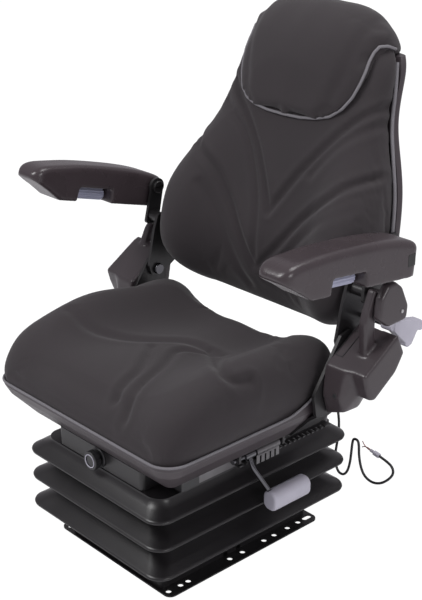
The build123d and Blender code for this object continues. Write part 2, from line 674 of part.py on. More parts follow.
def make_rail_caps():
    """Plastic caps round the front ends of the fixed rails."""
    z0 = PLATE_Z + PLATE
    x0 = RAIL_X - RAIL_WIDTH / 2
    x1 = RAIL_X + RAIL_WIDTH / 2
    z1 = z0 + RAIL_HEIGHT
    cap = box(x0 - 2.5, x1 + 2.5, RAIL_FRONT_Y - 4, RAIL_FRONT_Y + 36, z0, z1 + 2.5)
    cap = fillet(cap.edges().filter_by(Axis.Y).group_by(Axis.Z)[-1], 2.4)
    cap -= box(x0, x1, RAIL_FRONT_Y, RAIL_FRONT_Y + 37, z0 - 1, z1)
    cap -= box(RAIL_X - RAIL_SLOT / 2, RAIL_X + RAIL_SLOT / 2, RAIL_FRONT_Y, RAIL_FRONT_Y + 37,
               z1 - 1, z1 + 3)
    return Compound([cap, other_side(cap)])


RACK_X = RAIL_X + RAIL_WIDTH / 2
RACK_Z = PLATE_Z + PLATE + 4.0


def make_lock_rack():
    """The toothed rack on the outer side of the left rail."""
    web = box(RACK_X, RACK_X + RAIL_SHEET, RACK_FRONT_Y, RACK_REAR_Y, RACK_Z, RACK_Z + 14)
    shelf = box(RACK_X, RACK_X + RACK_REACH, RACK_FRONT_Y, RACK_REAR_Y, RACK_Z, RACK_Z + SHEET)
    rack = web + shelf
    count = int((RACK_REAR_Y - RACK_FRONT_Y) / RACK_PITCH) - 1
    for i in range(count):
        y = RACK_FRONT_Y + RACK_PITCH * (i + 1)
        rack -= box(RACK_X + 6, RACK_X + RACK_REACH + 1, y - 3.2, y + 3.2, RACK_Z - 1, RACK_Z + 4)
    return rack


LEVER_FRONT_Y = -54.0
LEVER_REAR_Y = 58.0


def make_lever_bracket():
    """A folded bracket under the pan's edge that carries the lever's shaft."""
    strap = box(RAIL_X + RAIL_WIDTH / 2, LEVER_X + 9, LEVER_FRONT_Y, LEVER_REAR_Y,
                RAIL_TOP_Z, PAN_FLOOR_Z)
    bracket = strap
    for y in (LEVER_FRONT_Y, LEVER_REAR_Y - 5):
        ear = box(LEVER_X - 9, LEVER_X + 9, y, y + 5, LEVER_Z, RAIL_TOP_Z)
        ear += rod_y(LEVER_X, y, y + 5, LEVER_Z, 9)
        bracket += ear - rod_y(LEVER_X, y - 1, y + 6, LEVER_Z, LEVER_ROD + RUNNING)
    return bracket


GRIP_X = 214.0
GRIP_Z = 146.0
GRIP_FRONT_Y = -6.0
GRIP_LENGTH = 92.0
GRIP_RADIUS = 19.0


def make_slide_lever():
    """The lever: a shaft, an arm and a bright rod that ends in the grip."""
    shaft = rod_y(LEVER_X, LEVER_FRONT_Y - 8, LEVER_REAR_Y + 6, LEVER_Z, LEVER_ROD)
    hub = rod_y(LEVER_X, -34, -12, LEVER_Z, 8)
    bar = tube_along(
        ((LEVER_X + 4, -24, LEVER_Z - 2), (LEVER_X + 12, -24, LEVER_Z - 20),
         (GRIP_X - 6, 2, GRIP_Z + 14), (GRIP_X, 14, GRIP_Z)), LEVER_ROD - 1.0)
    return shaft + hub + bar


def make_lever_grip(lever):
    """A moulded grip, slightly flattened, with rounded ends."""
    grip = Pos(GRIP_X, GRIP_FRONT_Y + GRIP_LENGTH / 2, GRIP_Z) * Rot(90, 0, 0) * extrude(
        RectangleRounded(2 * GRIP_RADIUS - 6, 2 * GRIP_RADIUS, GRIP_RADIUS - 5),
        GRIP_LENGTH / 2, both=True)
    grip = fillet(grip.faces().filter_by(Axis.Y).edges(), 5)
    return grip - lever


def make_lock_pawl():
    """A comb plate on the lever's shaft whose fingers meet the rack."""
    x = RACK_X + RACK_REACH + 0.5
    y0 = -8.0
    fingers = 5
    length = (fingers - 1) * RACK_PITCH + 8
    pawl = box(x, x + SHEET, y0, y0 + length, RACK_Z + 8, LEVER_Z)
    for i in range(fingers):
        y = y0 + RACK_PITCH * i
        pawl += box(x, x + SHEET, y, y + 8, RACK_Z - 6, RACK_Z + 8)
    hub = rod_y(LEVER_X, y0, y0 + length, LEVER_Z, 8.2)
    pawl += hub
    return pawl - rod_y(LEVER_X, y0 - 1, y0 + length + 1, LEVER_Z, LEVER_ROD)


def pan_outline(inset, z, rear=PAN_REAR_Y):
    """The pan's plan form at one height: straight sides, a rounded front."""
    half = PAN_HALF_X - inset
    front = PAN_FRONT_Y + inset
    corner = max(PAN_CORNER - inset, 14)
    length = rear - front
    face = Rectangle(2 * half, length)
    face = fillet(face.vertices().group_by(Axis.Y)[0], corner)
    face = fillet(face.vertices().group_by(Axis.Y)[-1], 20)
    return Pos(0, (rear + front) / 2, z) * face


PAN_WING_Z = 350.0


def rim_cutter(lift=0.0):
    """Everything above the pan's rim, which rises towards the covers."""
    points = [(PAN_FRONT_Y - 20, PAN_RIM_Z), (14, PAN_RIM_Z), (62, PAN_RIM_Z + 15),
              (100, PAN_WING_Z), (PAN_REAR_Y + 20, PAN_WING_Z), (PAN_REAR_Y + 20, PAN_WING_Z + 90),
              (PAN_FRONT_Y - 20, PAN_WING_Z + 90)]
    return Pos(0, 0, lift) * yz_plate(points, -PAN_HALF_X - 20, PAN_HALF_X + 20)


def pan_form(inset):
    """The pan's outer form, or its inner form when inset by the wall."""
    floor = PAN_FLOOR_Z + inset
    low = pan_outline(PAN_SLOPE + inset, floor)
    middle = pan_outline(10 + inset, PAN_RIM_Z - 24)
    form = loft([low, middle])
    upper = loft([middle, pan_outline(inset, PAN_RIM_Z - 6)])
    top = extrude(pan_outline(inset, PAN_RIM_Z - 6), PAN_WING_Z - PAN_RIM_Z + 12)
    return form + upper + top


def make_seat_pan(grow=0.0):
    """The moulded tray that holds the cushion, with its rim raised at the rear."""
    return pan_form(-grow) - pan_form(PAN_WALL + grow) - rim_cutter(grow)


CUSHION_STATIONS = (
    # y, half width, crest height, middle height
    (-261.0, 190.0, 338.0, 338.0),
    (-250.0, 222.0, 364.0, 357.0),
    (-225.0, 234.0, 388.0, 374.0),
    (-172.0, 239.0, 409.0, 386.0),
    (-90.0, 239.0, 425.0, 384.0),
    (0.0, 235.0, 424.0, 376.0),
    (80.0, 230.0, 419.0, 374.0),
    (130.0, 226.0, 411.0, 379.0),
    (148.0, 216.0, 398.0, 372.0),
)
CUSHION_LOW_Z = PAN_RIM_Z + 0.5


def cushion_section(y, half, crest, middle):
    """One cross-section of the seat cushion, with raised bolsters at both sides."""
    side = CUSHION_LOW_Z + 0.45 * (crest - CUSHION_LOW_Z)
    right = [(half, CUSHION_LOW_Z + 8), (half + 1, side), (0.93 * half, crest - 7),
             (0.80 * half, crest), (0.60 * half, (crest + middle) / 2 - 2), (0.38 * half, middle)]
    left = [(-x, z) for x, z in reversed(right)]
    top = Spline(*right, (0, middle), *left)
    base = Polyline(left[-1], (-half + 6, CUSHION_LOW_Z), (half - 6, CUSHION_LOW_Z), right[0])
    return Plane(origin=(0, y, 0), x_dir=(1, 0, 0), z_dir=(0, -1, 0)) * make_face(top + base)


def make_seat_cushion():
    """The foam cushion: a sculpted top with bolsters on a body that fills the pan."""
    crown = loft([cushion_section(*station) for station in CUSHION_STATIONS])
    body = pan_form(PAN_WALL + CUSHION_GAP) - box(
        -300, 300, PAN_FRONT_Y - 50, PAN_REAR_Y + 50, CUSHION_LOW_Z + 4, PAN_WING_Z + 60)
    return crown + body - make_seat_pan(CUSHION_GAP)


def make_side_plate():
    """The steel plate that stands on the pan's side and carries the backrest hinge."""
    points = [(62, 302), (144, 302), (156, 330), (160, 425), (140, 446), (118, 440), (54, 345)]
    x1 = SIDE_PLATE_X + SIDE_SHEET
    plate = yz_plate(points, SIDE_PLATE_X, x1, 7)
    plate -= rod_x(SIDE_PLATE_X - 1, x1 + 1, HINGE_Y, HINGE_Z, HINGE_PIN)
    floor_x = PAN_HALF_X - PAN_SLOPE
    wall_x = PAN_HALF_X - 8
    strap = [(floor_x - 18, PAN_FLOOR_Z), (floor_x, PAN_FLOOR_Z), (wall_x, PAN_RIM_Z - 22),
             (SIDE_PLATE_X, PAN_RIM_Z - 5), (SIDE_PLATE_X, PAN_RIM_Z + 12), (x1, PAN_RIM_Z + 12),
             (x1, PAN_RIM_Z - 8), (wall_x + 4, PAN_RIM_Z - 26), (floor_x + 3, PAN_FLOOR_Z - 3),
             (floor_x - 18, PAN_FLOOR_Z - 3)]
    strap = Plane.XZ.offset(-140) * Polygon(*strap, align=None)
    return plate + extrude(strap, 72, dir=(0, -1, 0))


def make_hinge_bolts():
    """Shouldered hinge bolts with domed heads on the inner side."""
    bolt = rod_x(HINGE_ARM_X - 1, SIDE_PLATE_X + SIDE_SHEET, HINGE_Y, HINGE_Z, HINGE_PIN)
    head = rod_x(HINGE_ARM_X - 6, HINGE_ARM_X - 1, HINGE_Y, HINGE_Z, HINGE_PIN + 4)
    head = fillet(head.faces().sort_by(Axis.X)[0].edges(), 2)
    bolt += head
    return Compound([bolt, other_side(bolt)])


# Each outline of the cover runs from the front edge up its slope and round the rear.
COVER_INNER = (
    (78, 400), (150, 446), (164, 454), (184, 417), (172, 350), (128, 302), (86, 304), (72, 345))
COVER_LOBE = (
    (79, 401), (150, 446), (164, 454), (184, 417), (170, 366), (122, 318), (84, 320), (72, 348))
COVER_BOX = (
    (81, 402), (152, 448), (165, 454), (184, 417), (164, 386), (112, 350), (98, 354), (88, 378))
STRIP_LEFT = ((106, 480), (111, 499), (127, 539), (138, 536), (133, 500), (135, 420), (112, 412))
STRIP_RIGHT = ((150, 455), (162, 480), (172, 491), (184, 488), (180, 462), (166, 430), (146, 430))


def make_side_cover(strip):
    """The moulded cover over the hinge: a lobe, a wedge-shaped box and a rising strip."""
    levels = ((COVER_X, COVER_INNER), (LOBE_X, COVER_LOBE), (BOX_X, COVER_BOX),
              (COVER_FACE_X, COVER_BOX))
    faces = [Plane.YZ.offset(x) * Polygon(*outline, align=None) for x, outline in levels]
    cover = loft(faces[:3], ruled=True) + loft(faces[2:], ruled=True)
    cover += yz_plate(strip, STRIP_X, STRIP_FACE_X, 4)
    inner = offset(Polygon(*COVER_INNER, align=None), -18.0)
    return cover - extrude(Plane.YZ.offset(COVER_X - 1) * inner, LOBE_X - 10 - COVER_X,
                           dir=(1, 0, 0))


def backrest_line(z):
    """The Y position of the cushion's rear face at one height."""
    if z > 600:
        return 262.0 + (z - 600) * 0.30
    return 262.0 - (600 - z) * 0.12


BACKREST_STATIONS = (
    # z, half width, middle front y, bolster front y
    (402.0, 150.0, 196.0, 200.0),
    (412.0, 184.0, 183.0, 176.0),
    (438.0, 214.0, 174.0, 142.0),
    (480.0, 236.0, 168.0, 118.0),
    (540.0, 241.0, 172.0, 120.0),
    (600.0, 240.0, 192.0, 142.0),
    (650.0, 228.0, 207.0, 178.0),
    (700.0, 208.0, 221.0, 214.0),
    (760.0, 184.0, 240.0, 248.0),
    (820.0, 176.0, 262.0, 276.0),
    (870.0, 164.0, 280.0, 298.0),
    (905.0, 130.0, 298.0, 318.0),
)


def backrest_section(z, half, middle, bolster):
    """One level cross-section of the backrest cushion."""
    rear = backrest_line(z)
    depth = rear - bolster
    right = [(half - 6, rear), (half, rear - 0.22 * depth), (half - 1, rear - 0.6 * depth),
             (0.93 * half, bolster + 0.08 * depth), (0.80 * half, bolster),
             (0.58 * half, bolster + 0.55 * (middle - bolster)), (0.36 * half, middle)]
    left = [(-x, y) for x, y in reversed(right)]
    front = Spline(*right, (0, middle), *left)
    back = Line(left[-1], right[0])
    return Plane.XY.offset(z) * make_face(front + back)


def make_backrest_cushion():
    """The backrest foam: lumbar bulge, side bolsters and a narrowing upper part."""
    return loft([backrest_section(*station) for station in BACKREST_STATIONS])


def shell_section(z, half, deep, inset):
    """One level cross-section of the backrest's rear shell."""
    front = backrest_line(z) + BACK_PLATE + 3.0
    rear = front + deep - inset
    side = half - inset
    points = [(side, front), (side - 2, rear - 8), (side - 16, rear), (0, rear + 3)]
    left = [(-x, y) for x, y in reversed(points[:-1])]
    back = Spline(*points, *left)
    face = make_face(back + Line(left[-1], points[0]))
    return Plane.XY.offset(z) * face


BACK_PLATE = 3.0
SHELL_WALL = 3.0


def make_backrest_shell():
    """The moulded rear cover of the backrest, hollow towards the cushion."""
    outer = []
    inner = []
    for z, half, _, _ in BACKREST_STATIONS[1:-1]:
        outer.append(shell_section(z, half, 24.0, 0.0))
    low, high = BACKREST_STATIONS[1][0], BACKREST_STATIONS[-2][0]
    for z, half, _, _ in BACKREST_STATIONS[1:-1]:
        level = low + SHELL_WALL + (z - low) * (high - low - 2 * SHELL_WALL) / (high - low)
        inner.append(shell_section(level, half, 24.0, SHELL_WALL))
    shell = loft(outer) - loft(inner)
    shell -= yz_plate(back_plate_points(469, 591, 0.5), -HINGE_ARM_X - 3, HINGE_ARM_X + 3)
    return shell - yz_plate(back_plate_points(584, 863, 0.5), -71, 71)


def back_plate_points(z0, z1, grow=0.0):
    """The side view of a sheet that lies on the cushion's rear face."""
    near = 1.0 - grow
    points = [(backrest_line(z0) + near, z0)]
    if z0 < 600 < z1:
        points.append((backrest_line(600) + near, 600))
    points.append((backrest_line(z1) + near, z1))
    return points + [(y + BACK_PLATE + 2 * grow, z) for y, z in reversed(points)]


def make_backrest_frame():
    """Steel hinge arms at both sides, joined by a back plate with a centre post."""
    outline = [(HINGE_Y - 16, HINGE_Z - 10), (HINGE_Y, HINGE_Z - 18), (HINGE_Y + 20, HINGE_Z - 8),
               (backrest_line(470) + 4, 470), (backrest_line(590) + 4, 590),
               (backrest_line(590) - 30, 590), (168, 530), (138, 530), (128, 500),
               (HINGE_Y - 22, HINGE_Z + 10)]
    arm = yz_plate(outline, HINGE_ARM_X, HINGE_ARM_X + SIDE_SHEET, 6)
    arm -= rod_x(HINGE_ARM_X - 1, HINGE_ARM_X + SIDE_SHEET + 1, HINGE_Y, HINGE_Z,
                 HINGE_PIN + RUNNING)
    arm += rod_x(HINGE_ARM_X + SIDE_SHEET, BRACKET_X, BRACKET_FOOT_Y, BRACKET_FOOT_Z, 11)
    plate = yz_plate(back_plate_points(470, 590), -HINGE_ARM_X - 1, HINGE_ARM_X + 1)
    post = yz_plate(back_plate_points(585, 862), -70, 70)
    axle = rod_x(HINGE_ARM_X + SIDE_SHEET, PADDLE_X + 10, PADDLE_Y, PADDLE_Z, PADDLE_AXLE)
    return both_sides(arm) + plate + post + axle


HEADREST_STATIONS = (
    # x, lowest z, highest z, how far its front stands back
    (0.0, 752.0, 954.0, 0.0),
    (70.0, 758.0, 951.0, 3.0),
    (110.0, 770.0, 941.0, 9.0),
    (134.0, 796.0, 926.0, 19.0),
    (150.0, 838.0, 912.0, 34.0),
    (157.0, 866.0, 898.0, 48.0),
)
HEADREST_REAR_Y = 386.0
FLAP_LOW_Z = 846.0


def headrest_front(z):
    """The Y position of the pillow's front face at one height, on the middle plane."""
    return 220.0 + 0.37 * (z - 757.0) - 0.0006 * (z - 757.0) * (962.0 - z)


def headrest_section(x, low, high, back):
    """One upright cross-section of the pillow, which folds over the backrest's top."""
    near = high - 24.0
    middle = (low + near) / 2
    rear = HEADREST_REAR_Y - 0.6 * back
    flap = max(FLAP_LOW_Z, low)
    points = [(headrest_front(low) + back + 5, low), (headrest_front(middle) + back, middle),
              (headrest_front(near) + back + 6, near), (0.5 * (headrest_front(high) + rear), high),
              (rear, near - 6), (rear + 2, flap)]
    outline = Spline(*points) + Line(points[-1], points[0])
    return Plane.YZ.offset(x) * make_face(outline)


def make_headrest(shell):
    """The headrest pillow: its front sits on the cushion and its flap hangs behind the shell."""
    sides = [(-x, low, high, back) for x, low, high, back in reversed(HEADREST_STATIONS[1:])]
    pillow = loft([headrest_section(*row) for row in sides + list(HEADREST_STATIONS)])
    core = [(backrest_line(z) + dy, z) for z, dy in ((730, -5), (872, -5), (872, 38), (730, 38))]
    return pillow - make_backrest_cushion() - yz_plate(core, -220, 220) - shell


BRACKET_FOOT_Y = 153.0
BRACKET_FOOT_Z = 517.0


def make_armrest_bracket(pivot):
    """The steel bracket between the backrest frame's boss and an armrest's pivot."""
    y, z = pivot
    x1 = BRACKET_X + SIDE_SHEET
    outline = [(BRACKET_FOOT_Y - 17, BRACKET_FOOT_Z - 15), (BRACKET_FOOT_Y + 16, BRACKET_FOOT_Z - 18),
               (y + 15, z - 4), (y - 15, z - 2)]
    plate = yz_plate(outline, BRACKET_X, x1, 6) + rod_x(BRACKET_X, x1, y, z, 17)
    return plate - rod_x(BRACKET_X - 1, x1 + 1, y, z, ARM_PIN)


def make_armrest_bolt(pivot):
    """One slotted pivot bolt of an armrest, on the +X side."""
    y, z = pivot
    bolt = rod_x(BRACKET_X - 1, ARM_INNER_X + 14, y, z, ARM_PIN)
    head = chamfer(rod_x(BRACKET_X - 6, BRACKET_X, y, z, ARM_PIN + 6).edges(), 1.2)
    return bolt + head - box(BRACKET_X - 7, BRACKET_X - 3.5, y - 15, y + 15, z - 1.2, z + 1.2)


def make_armrest_bolts():
    """Slotted pivot bolts of the armrests."""
    return Compound([make_armrest_bolt(ARM_PIVOT_LEFT),
                     other_side(make_armrest_bolt(ARM_PIVOT_RIGHT))])


EAR_OUTLINE = (
    (120, 492), (124, 528), (140, 549), (160, 550), (178, 536), (196, 500), (194, 474), (146, 472))


def make_ear_cover():
    """The rounded cover over the armrest bracket's foot."""
    ear = yz_plate(EAR_OUTLINE, EAR_X, EAR_FACE_X, 8)
    ear = fillet(ear.faces().sort_by(Axis.X)[-1].edges(), 5)
    inner = offset(Polygon(*EAR_OUTLINE, align=None), -6.0)
    ear -= extrude(Plane.YZ.offset(EAR_X - 1) * inner, EAR_FACE_X - EAR_X - 5, dir=(1, 0, 0))
    boss = rod_x(BRACKET_X + SIDE_SHEET, EAR_FACE_X - 4, 160, 516, 9)
    return ear + boss


LEVER_OUTLINE = (
    (177, 451), (178, 470), (205, 464), (246, 455), (262, 444), (252, 432), (240, 436),
    (226, 414), (214, 410), (206, 424), (190, 438))


def make_recliner_lever():
    """The paddle that frees the backrest, with finger hollows on its underside."""
    lever = yz_plate(LEVER_OUTLINE, PADDLE_X, PADDLE_X + 18, 4)
    boss = rod_x(PADDLE_X - 9, PADDLE_X + 15, PADDLE_Y, PADDLE_Z, 8)
    bore = rod_x(PADDLE_X - 10, PADDLE_X + 10.5, PADDLE_Y, PADDLE_Z, PADDLE_AXLE + RUNNING)
    return lever + boss - bore


ARM_TOP = (
    (-303, 30), (-292, 44), (-255, 54), (-205, 59), (-150, 61), (-95, 61), (-50, 59),
    (-10, 54), (14, 45), (22, 28))
ARM_LOW = (
    (14, -10), (-111, -10), (-113, 17.5), (-192, 17.5), (-194, -10), (-236, -10), (-264, 6),
    (-300, 24))
ARM_PLAN_Y = -141.0
ARM_PLAN_LENGTH = 322.0
WHEEL_Y = -152.5
WHEEL_Z = 2.5
WHEEL_LENGTH = 74.0
WHEEL_PIN = 3.0


def make_armrest():
    """One armrest: a long moulding with a window underneath for the tilt wheel."""
    face = make_face(Spline(*ARM_TOP) + Polyline(ARM_TOP[-1], *ARM_LOW, ARM_TOP[0]))
    arm = extrude(Plane.YZ.offset(ARM_INNER_X) * face, ARM_WIDTH, dir=(1, 0, 0))
    middle = ARM_INNER_X + ARM_WIDTH / 2
    plan = Pos(middle, ARM_PLAN_Y, -20) * extrude(
        RectangleRounded(ARM_WIDTH, ARM_PLAN_LENGTH, 20), 100)
    arm = arm & plan
    rims = [e for e in arm.edges() if e.center().Z > 30 and abs(e.center().X - middle) > 20]
    arm = fillet(rims, 12)
    arm -= rod_y(middle, WHEEL_Y - WHEEL_LENGTH / 2 - 8, WHEEL_Y + WHEEL_LENGTH / 2 + 8,
                 WHEEL_Z, WHEEL_PIN + RUNNING)
    y, z = ARM_PIVOT_IN_PROFILE
    return arm - rod_x(ARM_INNER_X - 1, ARM_INNER_X + 15, y, z, ARM_PIN + RUNNING)


def place_armrest(part, pivot, tilt):
    """Puts a piece of an armrest on its pivot and turns it by its tilt."""
    y, z = ARM_PIVOT_IN_PROFILE
    return Pos(0, *pivot) * Rot(-tilt, 0, 0) * Pos(0, -y, -z) * part


def make_wheel():
    """The ribbed wheel that sets the armrest's tilt, with a pin at each end."""
    outline = []
    ribs = 14
    for i in range(2 * ribs):
        radius = WHEEL_RADIUS if i % 2 else WHEEL_RADIUS - 1.4
        angle = pi * i / ribs
        outline.append((radius * cos(angle), radius * sin(angle)))
    x = ARM_INNER_X + ARM_WIDTH / 2
    start = WHEEL_Y + WHEEL_LENGTH / 2
    drum = Pos(x, start, WHEEL_Z) * Rot(90, 0, 0) * extrude(
        Polygon(*outline, align=None), WHEEL_LENGTH)
    return drum + rod_y(x, start - WHEEL_LENGTH - 7, start + 7, WHEEL_Z, WHEEL_PIN)


def write(name, part):
    """Writes one piece to its own file."""
    part.label = name
    export_step(part, os.path.join("parts", name + ".step"))


os.makedirs("parts", exist_ok=True)
write("base_frame", make_base_frame())
write("bump_stops", make_bump_stops())
write("bellows", make_bellows())
write("scissor_outer_arms", make_outer_arms())
write("scissor_inner_arms", make_inner_arms())
write("centre_bolts", make_centre_bolts())
write("base_pivot_pins", make_base_pins())
write("top_pivot_pins", make_top_pins())
outer_roller = make_roller(OUTER_ARM_X + ARM_SHEET + 1, TOP_PIVOT_Z)
inner_roller = make_roller(INNER_ARM_X + ARM_SHEET + 2, BASE_PIVOT_Z)
write("roller_top_left", outer_roller)
write("roller_top_right", other_side(outer_roller))
write("roller_base_left", inner_roller)
write("roller_base_right", other_side(inner_roller))
write("air_spring_piston", make_air_spring_piston())
write("air_spring_sleeve", make_air_spring_sleeve())
write("air_spring_cap", make_air_spring_cap())
write("air_pump", make_pump())
write("damper_body", make_damper_body())
write("damper_rod", make_damper_rod())
write("top_frame", make_top_frame())
write("cable_gland", make_gland())
write("cable", make_cable())
write("cable_connector", make_connector())
write("cable_wires", make_wires())
write("air_valve", make_air_valve())
write("knob_bezel", make_knob_bezel())
write("height_knob", make_height_knob())
write("rail_lower_left", make_lower_rail())
write("rail_lower_right", other_side(make_lower_rail()))
write("rail_upper_left", make_upper_rail())
write("rail_upper_right", other_side(make_upper_rail()))
write("rail_glides", make_rail_glides())
write("rail_caps", make_rail_caps())
write("lock_rack", make_lock_rack())
write("lock_pawl", make_lock_pawl())
write("lever_bracket", make_lever_bracket())
lever = make_slide_lever()
write("slide_lever", lever)
write("lever_grip", make_lever_grip(lever))
write("seat_pan", make_seat_pan())
write("seat_cushion", make_seat_cushion())
write("side_plate_left", make_side_plate())
write("side_plate_right", other_side(make_side_plate()))
write("hinge_bolts", make_hinge_bolts())
write("side_cover_left", make_side_cover(STRIP_LEFT))
write("side_cover_right", other_side(make_side_cover(STRIP_RIGHT)))
write("backrest_frame", make_backrest_frame())
shell = make_backrest_shell()
write("backrest_shell", shell)
write("backrest_cushion", make_backrest_cushion())
write("headrest_cushion", make_headrest(shell))
write("armrest_bracket_left", make_armrest_bracket(ARM_PIVOT_LEFT))
write("armrest_bracket_right", other_side(make_armrest_bracket(ARM_PIVOT_RIGHT)))
write("armrest_bolts", make_armrest_bolts())
write("ear_cover_left", make_ear_cover())
write("recliner_lever", make_recliner_lever())
armrest = make_armrest()
write("armrest_left", place_armrest(armrest, ARM_PIVOT_LEFT, TILT_LEFT))
write("armrest_right", other_side(place_armrest(armrest, ARM_PIVOT_RIGHT, TILT_RIGHT)))
write("tilt_wheel_left", place_armrest(make_wheel(), ARM_PIVOT_LEFT, TILT_LEFT))
write("tilt_wheel_right", other_side(place_armrest(make_wheel(), ARM_PIVOT_RIGHT, TILT_RIGHT)))
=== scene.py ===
# %% [markdown]
# An air suspension seat, dressed over its CAD solids.
# The CAD model is loaded first and is never moved. Hard parts keep their CAD
# mesh and get a finish here. Foam, rubber, moulded skins, piping and the cable
# are modelled here, each riding on the body that carries it.

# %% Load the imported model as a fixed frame
import json
from math import cos, pi, radians, sin

import bpy
import numpy as np
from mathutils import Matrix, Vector


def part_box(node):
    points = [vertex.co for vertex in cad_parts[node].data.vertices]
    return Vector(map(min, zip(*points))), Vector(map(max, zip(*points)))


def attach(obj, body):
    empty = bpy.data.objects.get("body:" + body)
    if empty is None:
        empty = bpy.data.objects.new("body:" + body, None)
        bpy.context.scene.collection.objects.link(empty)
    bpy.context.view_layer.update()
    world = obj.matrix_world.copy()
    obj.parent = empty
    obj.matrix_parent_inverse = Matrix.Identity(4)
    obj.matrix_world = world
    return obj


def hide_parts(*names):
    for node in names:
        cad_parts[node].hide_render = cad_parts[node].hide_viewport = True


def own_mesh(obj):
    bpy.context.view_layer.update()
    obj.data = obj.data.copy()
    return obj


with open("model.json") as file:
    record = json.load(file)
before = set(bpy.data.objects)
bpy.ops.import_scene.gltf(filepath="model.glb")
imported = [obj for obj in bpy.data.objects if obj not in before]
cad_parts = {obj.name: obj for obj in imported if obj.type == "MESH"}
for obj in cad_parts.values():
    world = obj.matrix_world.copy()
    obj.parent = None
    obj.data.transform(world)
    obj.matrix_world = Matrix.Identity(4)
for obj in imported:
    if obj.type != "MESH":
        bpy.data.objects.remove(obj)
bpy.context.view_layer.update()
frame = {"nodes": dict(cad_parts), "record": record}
nodes = frame["nodes"]


# %% [markdown]
# Small helpers used all the way down: select one object, apply what is on it,
# copy a CAD solid into a fresh mesh whose loose triangles are merged. An operator
# works on what is selected, so nothing is left selected by chance.

# %% Helpers for selecting and applying
def pick(*objects):
    """Selects only these objects and makes the first one active."""
    bpy.ops.object.select_all(action="DESELECT")
    for obj in objects:
        obj.select_set(True)
    bpy.context.view_layer.objects.active = objects[0]


def apply_modifiers(obj):
    """Applies every modifier on an object, in order."""
    pick(obj)
    for name in [m.name for m in obj.modifiers]:
        bpy.ops.object.modifier_apply(modifier=name)


def copy_solid(node, name):
    """A merged copy of a CAD node's mesh, with no material."""
    mesh = nodes[node].data.copy()
    mesh.materials.clear()
    obj = bpy.data.objects.new(name, mesh)
    bpy.context.scene.collection.objects.link(obj)
    pick(obj)
    bpy.ops.object.mode_set(mode="EDIT")
    bpy.ops.mesh.select_all(action="SELECT")
    bpy.ops.mesh.remove_doubles(threshold=0.00002)
    bpy.ops.object.mode_set(mode="OBJECT")
    return obj


def points_of(obj):
    """Every vertex of a mesh as an array of rows x, y, z."""
    flat = np.zeros(len(obj.data.vertices) * 3)
    obj.data.vertices.foreach_get("co", flat)
    return flat.reshape(-1, 3)


def move_points(obj, points):
    """Writes the rows back as the mesh's vertices."""
    obj.data.vertices.foreach_set("co", points.ravel())
    obj.data.update()


# %% [markdown]
# The camera stands where the photograph was taken: in front of the seat and to
# the sitter's left, looking down a little. The lens was solved from the base's
# corners and holes, so the render lines up with the photograph.

# %% Camera
AZIMUTH = radians(47.382)
ELEVATION = radians(22.373)
TARGET = Vector((0.015665, 0.023625, 0.460885))
DISTANCE = 2.221273
LENS = 74.93
SHIFT = (0.0102, -0.0014)
away = Vector((sin(AZIMUTH) * cos(ELEVATION), -cos(AZIMUTH) * cos(ELEVATION), sin(ELEVATION)))
camera_data = bpy.data.cameras.new("photo_camera")
camera_data.lens = LENS
camera_data.sensor_width = 36.0
camera_data.shift_x, camera_data.shift_y = SHIFT
camera = bpy.data.objects.new("photo_camera", camera_data)
bpy.context.scene.collection.objects.link(camera)
camera.location = TARGET + away * DISTANCE
camera.rotation_euler = (-away).to_track_quat("-Z", "Y").to_euler()
bpy.context.scene.camera = camera
bpy.context.scene.view_settings.view_transform = "Standard"

# %% [markdown]
# A studio: a pale floor, an even world and three broad lamps. The world looks
# white to the camera, while what lights the seat is dimmer and faintly violet. The
# floor glows for the camera only, so that it meets the world with no horizon.

# %% Floor, world and lamps
FLOOR_GLOW = 1.12
GLOW_SHARE = 0.9
WORLD_LIGHT = 0.42

bpy.ops.mesh.primitive_plane_add(size=14, location=(0, 0, -0.0005))
floor = bpy.context.object
floor.name = "studio_floor"
floor_material = bpy.data.materials.new("studio_floor")
floor_material.use_nodes = True
floor_tree = floor_material.node_tree
floor_shader = floor_tree.nodes["Principled BSDF"]
floor_shader.inputs["Base Color"].default_value = (0.85, 0.85, 0.86, 1)
floor_shader.inputs["Roughness"].default_value = 0.9
glow = floor_tree.nodes.new("ShaderNodeEmission")
glow.inputs["Strength"].default_value = FLOOR_GLOW
camera_ray = floor_tree.nodes.new("ShaderNodeLightPath")
share = floor_tree.nodes.new("ShaderNodeMath")
share.operation = "MULTIPLY"
share.inputs[1].default_value = GLOW_SHARE
both = floor_tree.nodes.new("ShaderNodeMixShader")
floor_tree.links.new(camera_ray.outputs["Is Camera Ray"], share.inputs[0])
floor_tree.links.new(share.outputs[0], both.inputs[0])
floor_tree.links.new(floor_shader.outputs[0], both.inputs[1])
floor_tree.links.new(glow.outputs[0], both.inputs[2])
floor_tree.links.new(both.outputs[0], floor_tree.nodes["Material Output"].inputs["Surface"])
floor.data.materials.append(floor_material)

world = bpy.data.worlds.new("studio")
bpy.context.scene.world = world
world.use_nodes = True
tree = world.node_tree
tree.nodes.clear()
seen = tree.nodes.new("ShaderNodeBackground")
seen.inputs["Color"].default_value = (1, 1, 1, 1)
seen.inputs["Strength"].default_value = 1.0
lit = tree.nodes.new("ShaderNodeBackground")
lit.inputs["Color"].default_value = (0.98, 0.94, 1.0, 1)
lit.inputs["Strength"].default_value = WORLD_LIGHT
path = tree.nodes.new("ShaderNodeLightPath")
either = tree.nodes.new("ShaderNodeMath")
either.operation = "MAXIMUM"
mixed = tree.nodes.new("ShaderNodeMixShader")
out = tree.nodes.new("ShaderNodeOutputWorld")
tree.links.new(path.outputs["Is Camera Ray"], either.inputs[0])
tree.links.new(path.outputs["Is Transmission Ray"], either.inputs[1])
tree.links.new(either.outputs[0], mixed.inputs[0])
tree.links.new(lit.outputs[0], mixed.inputs[1])
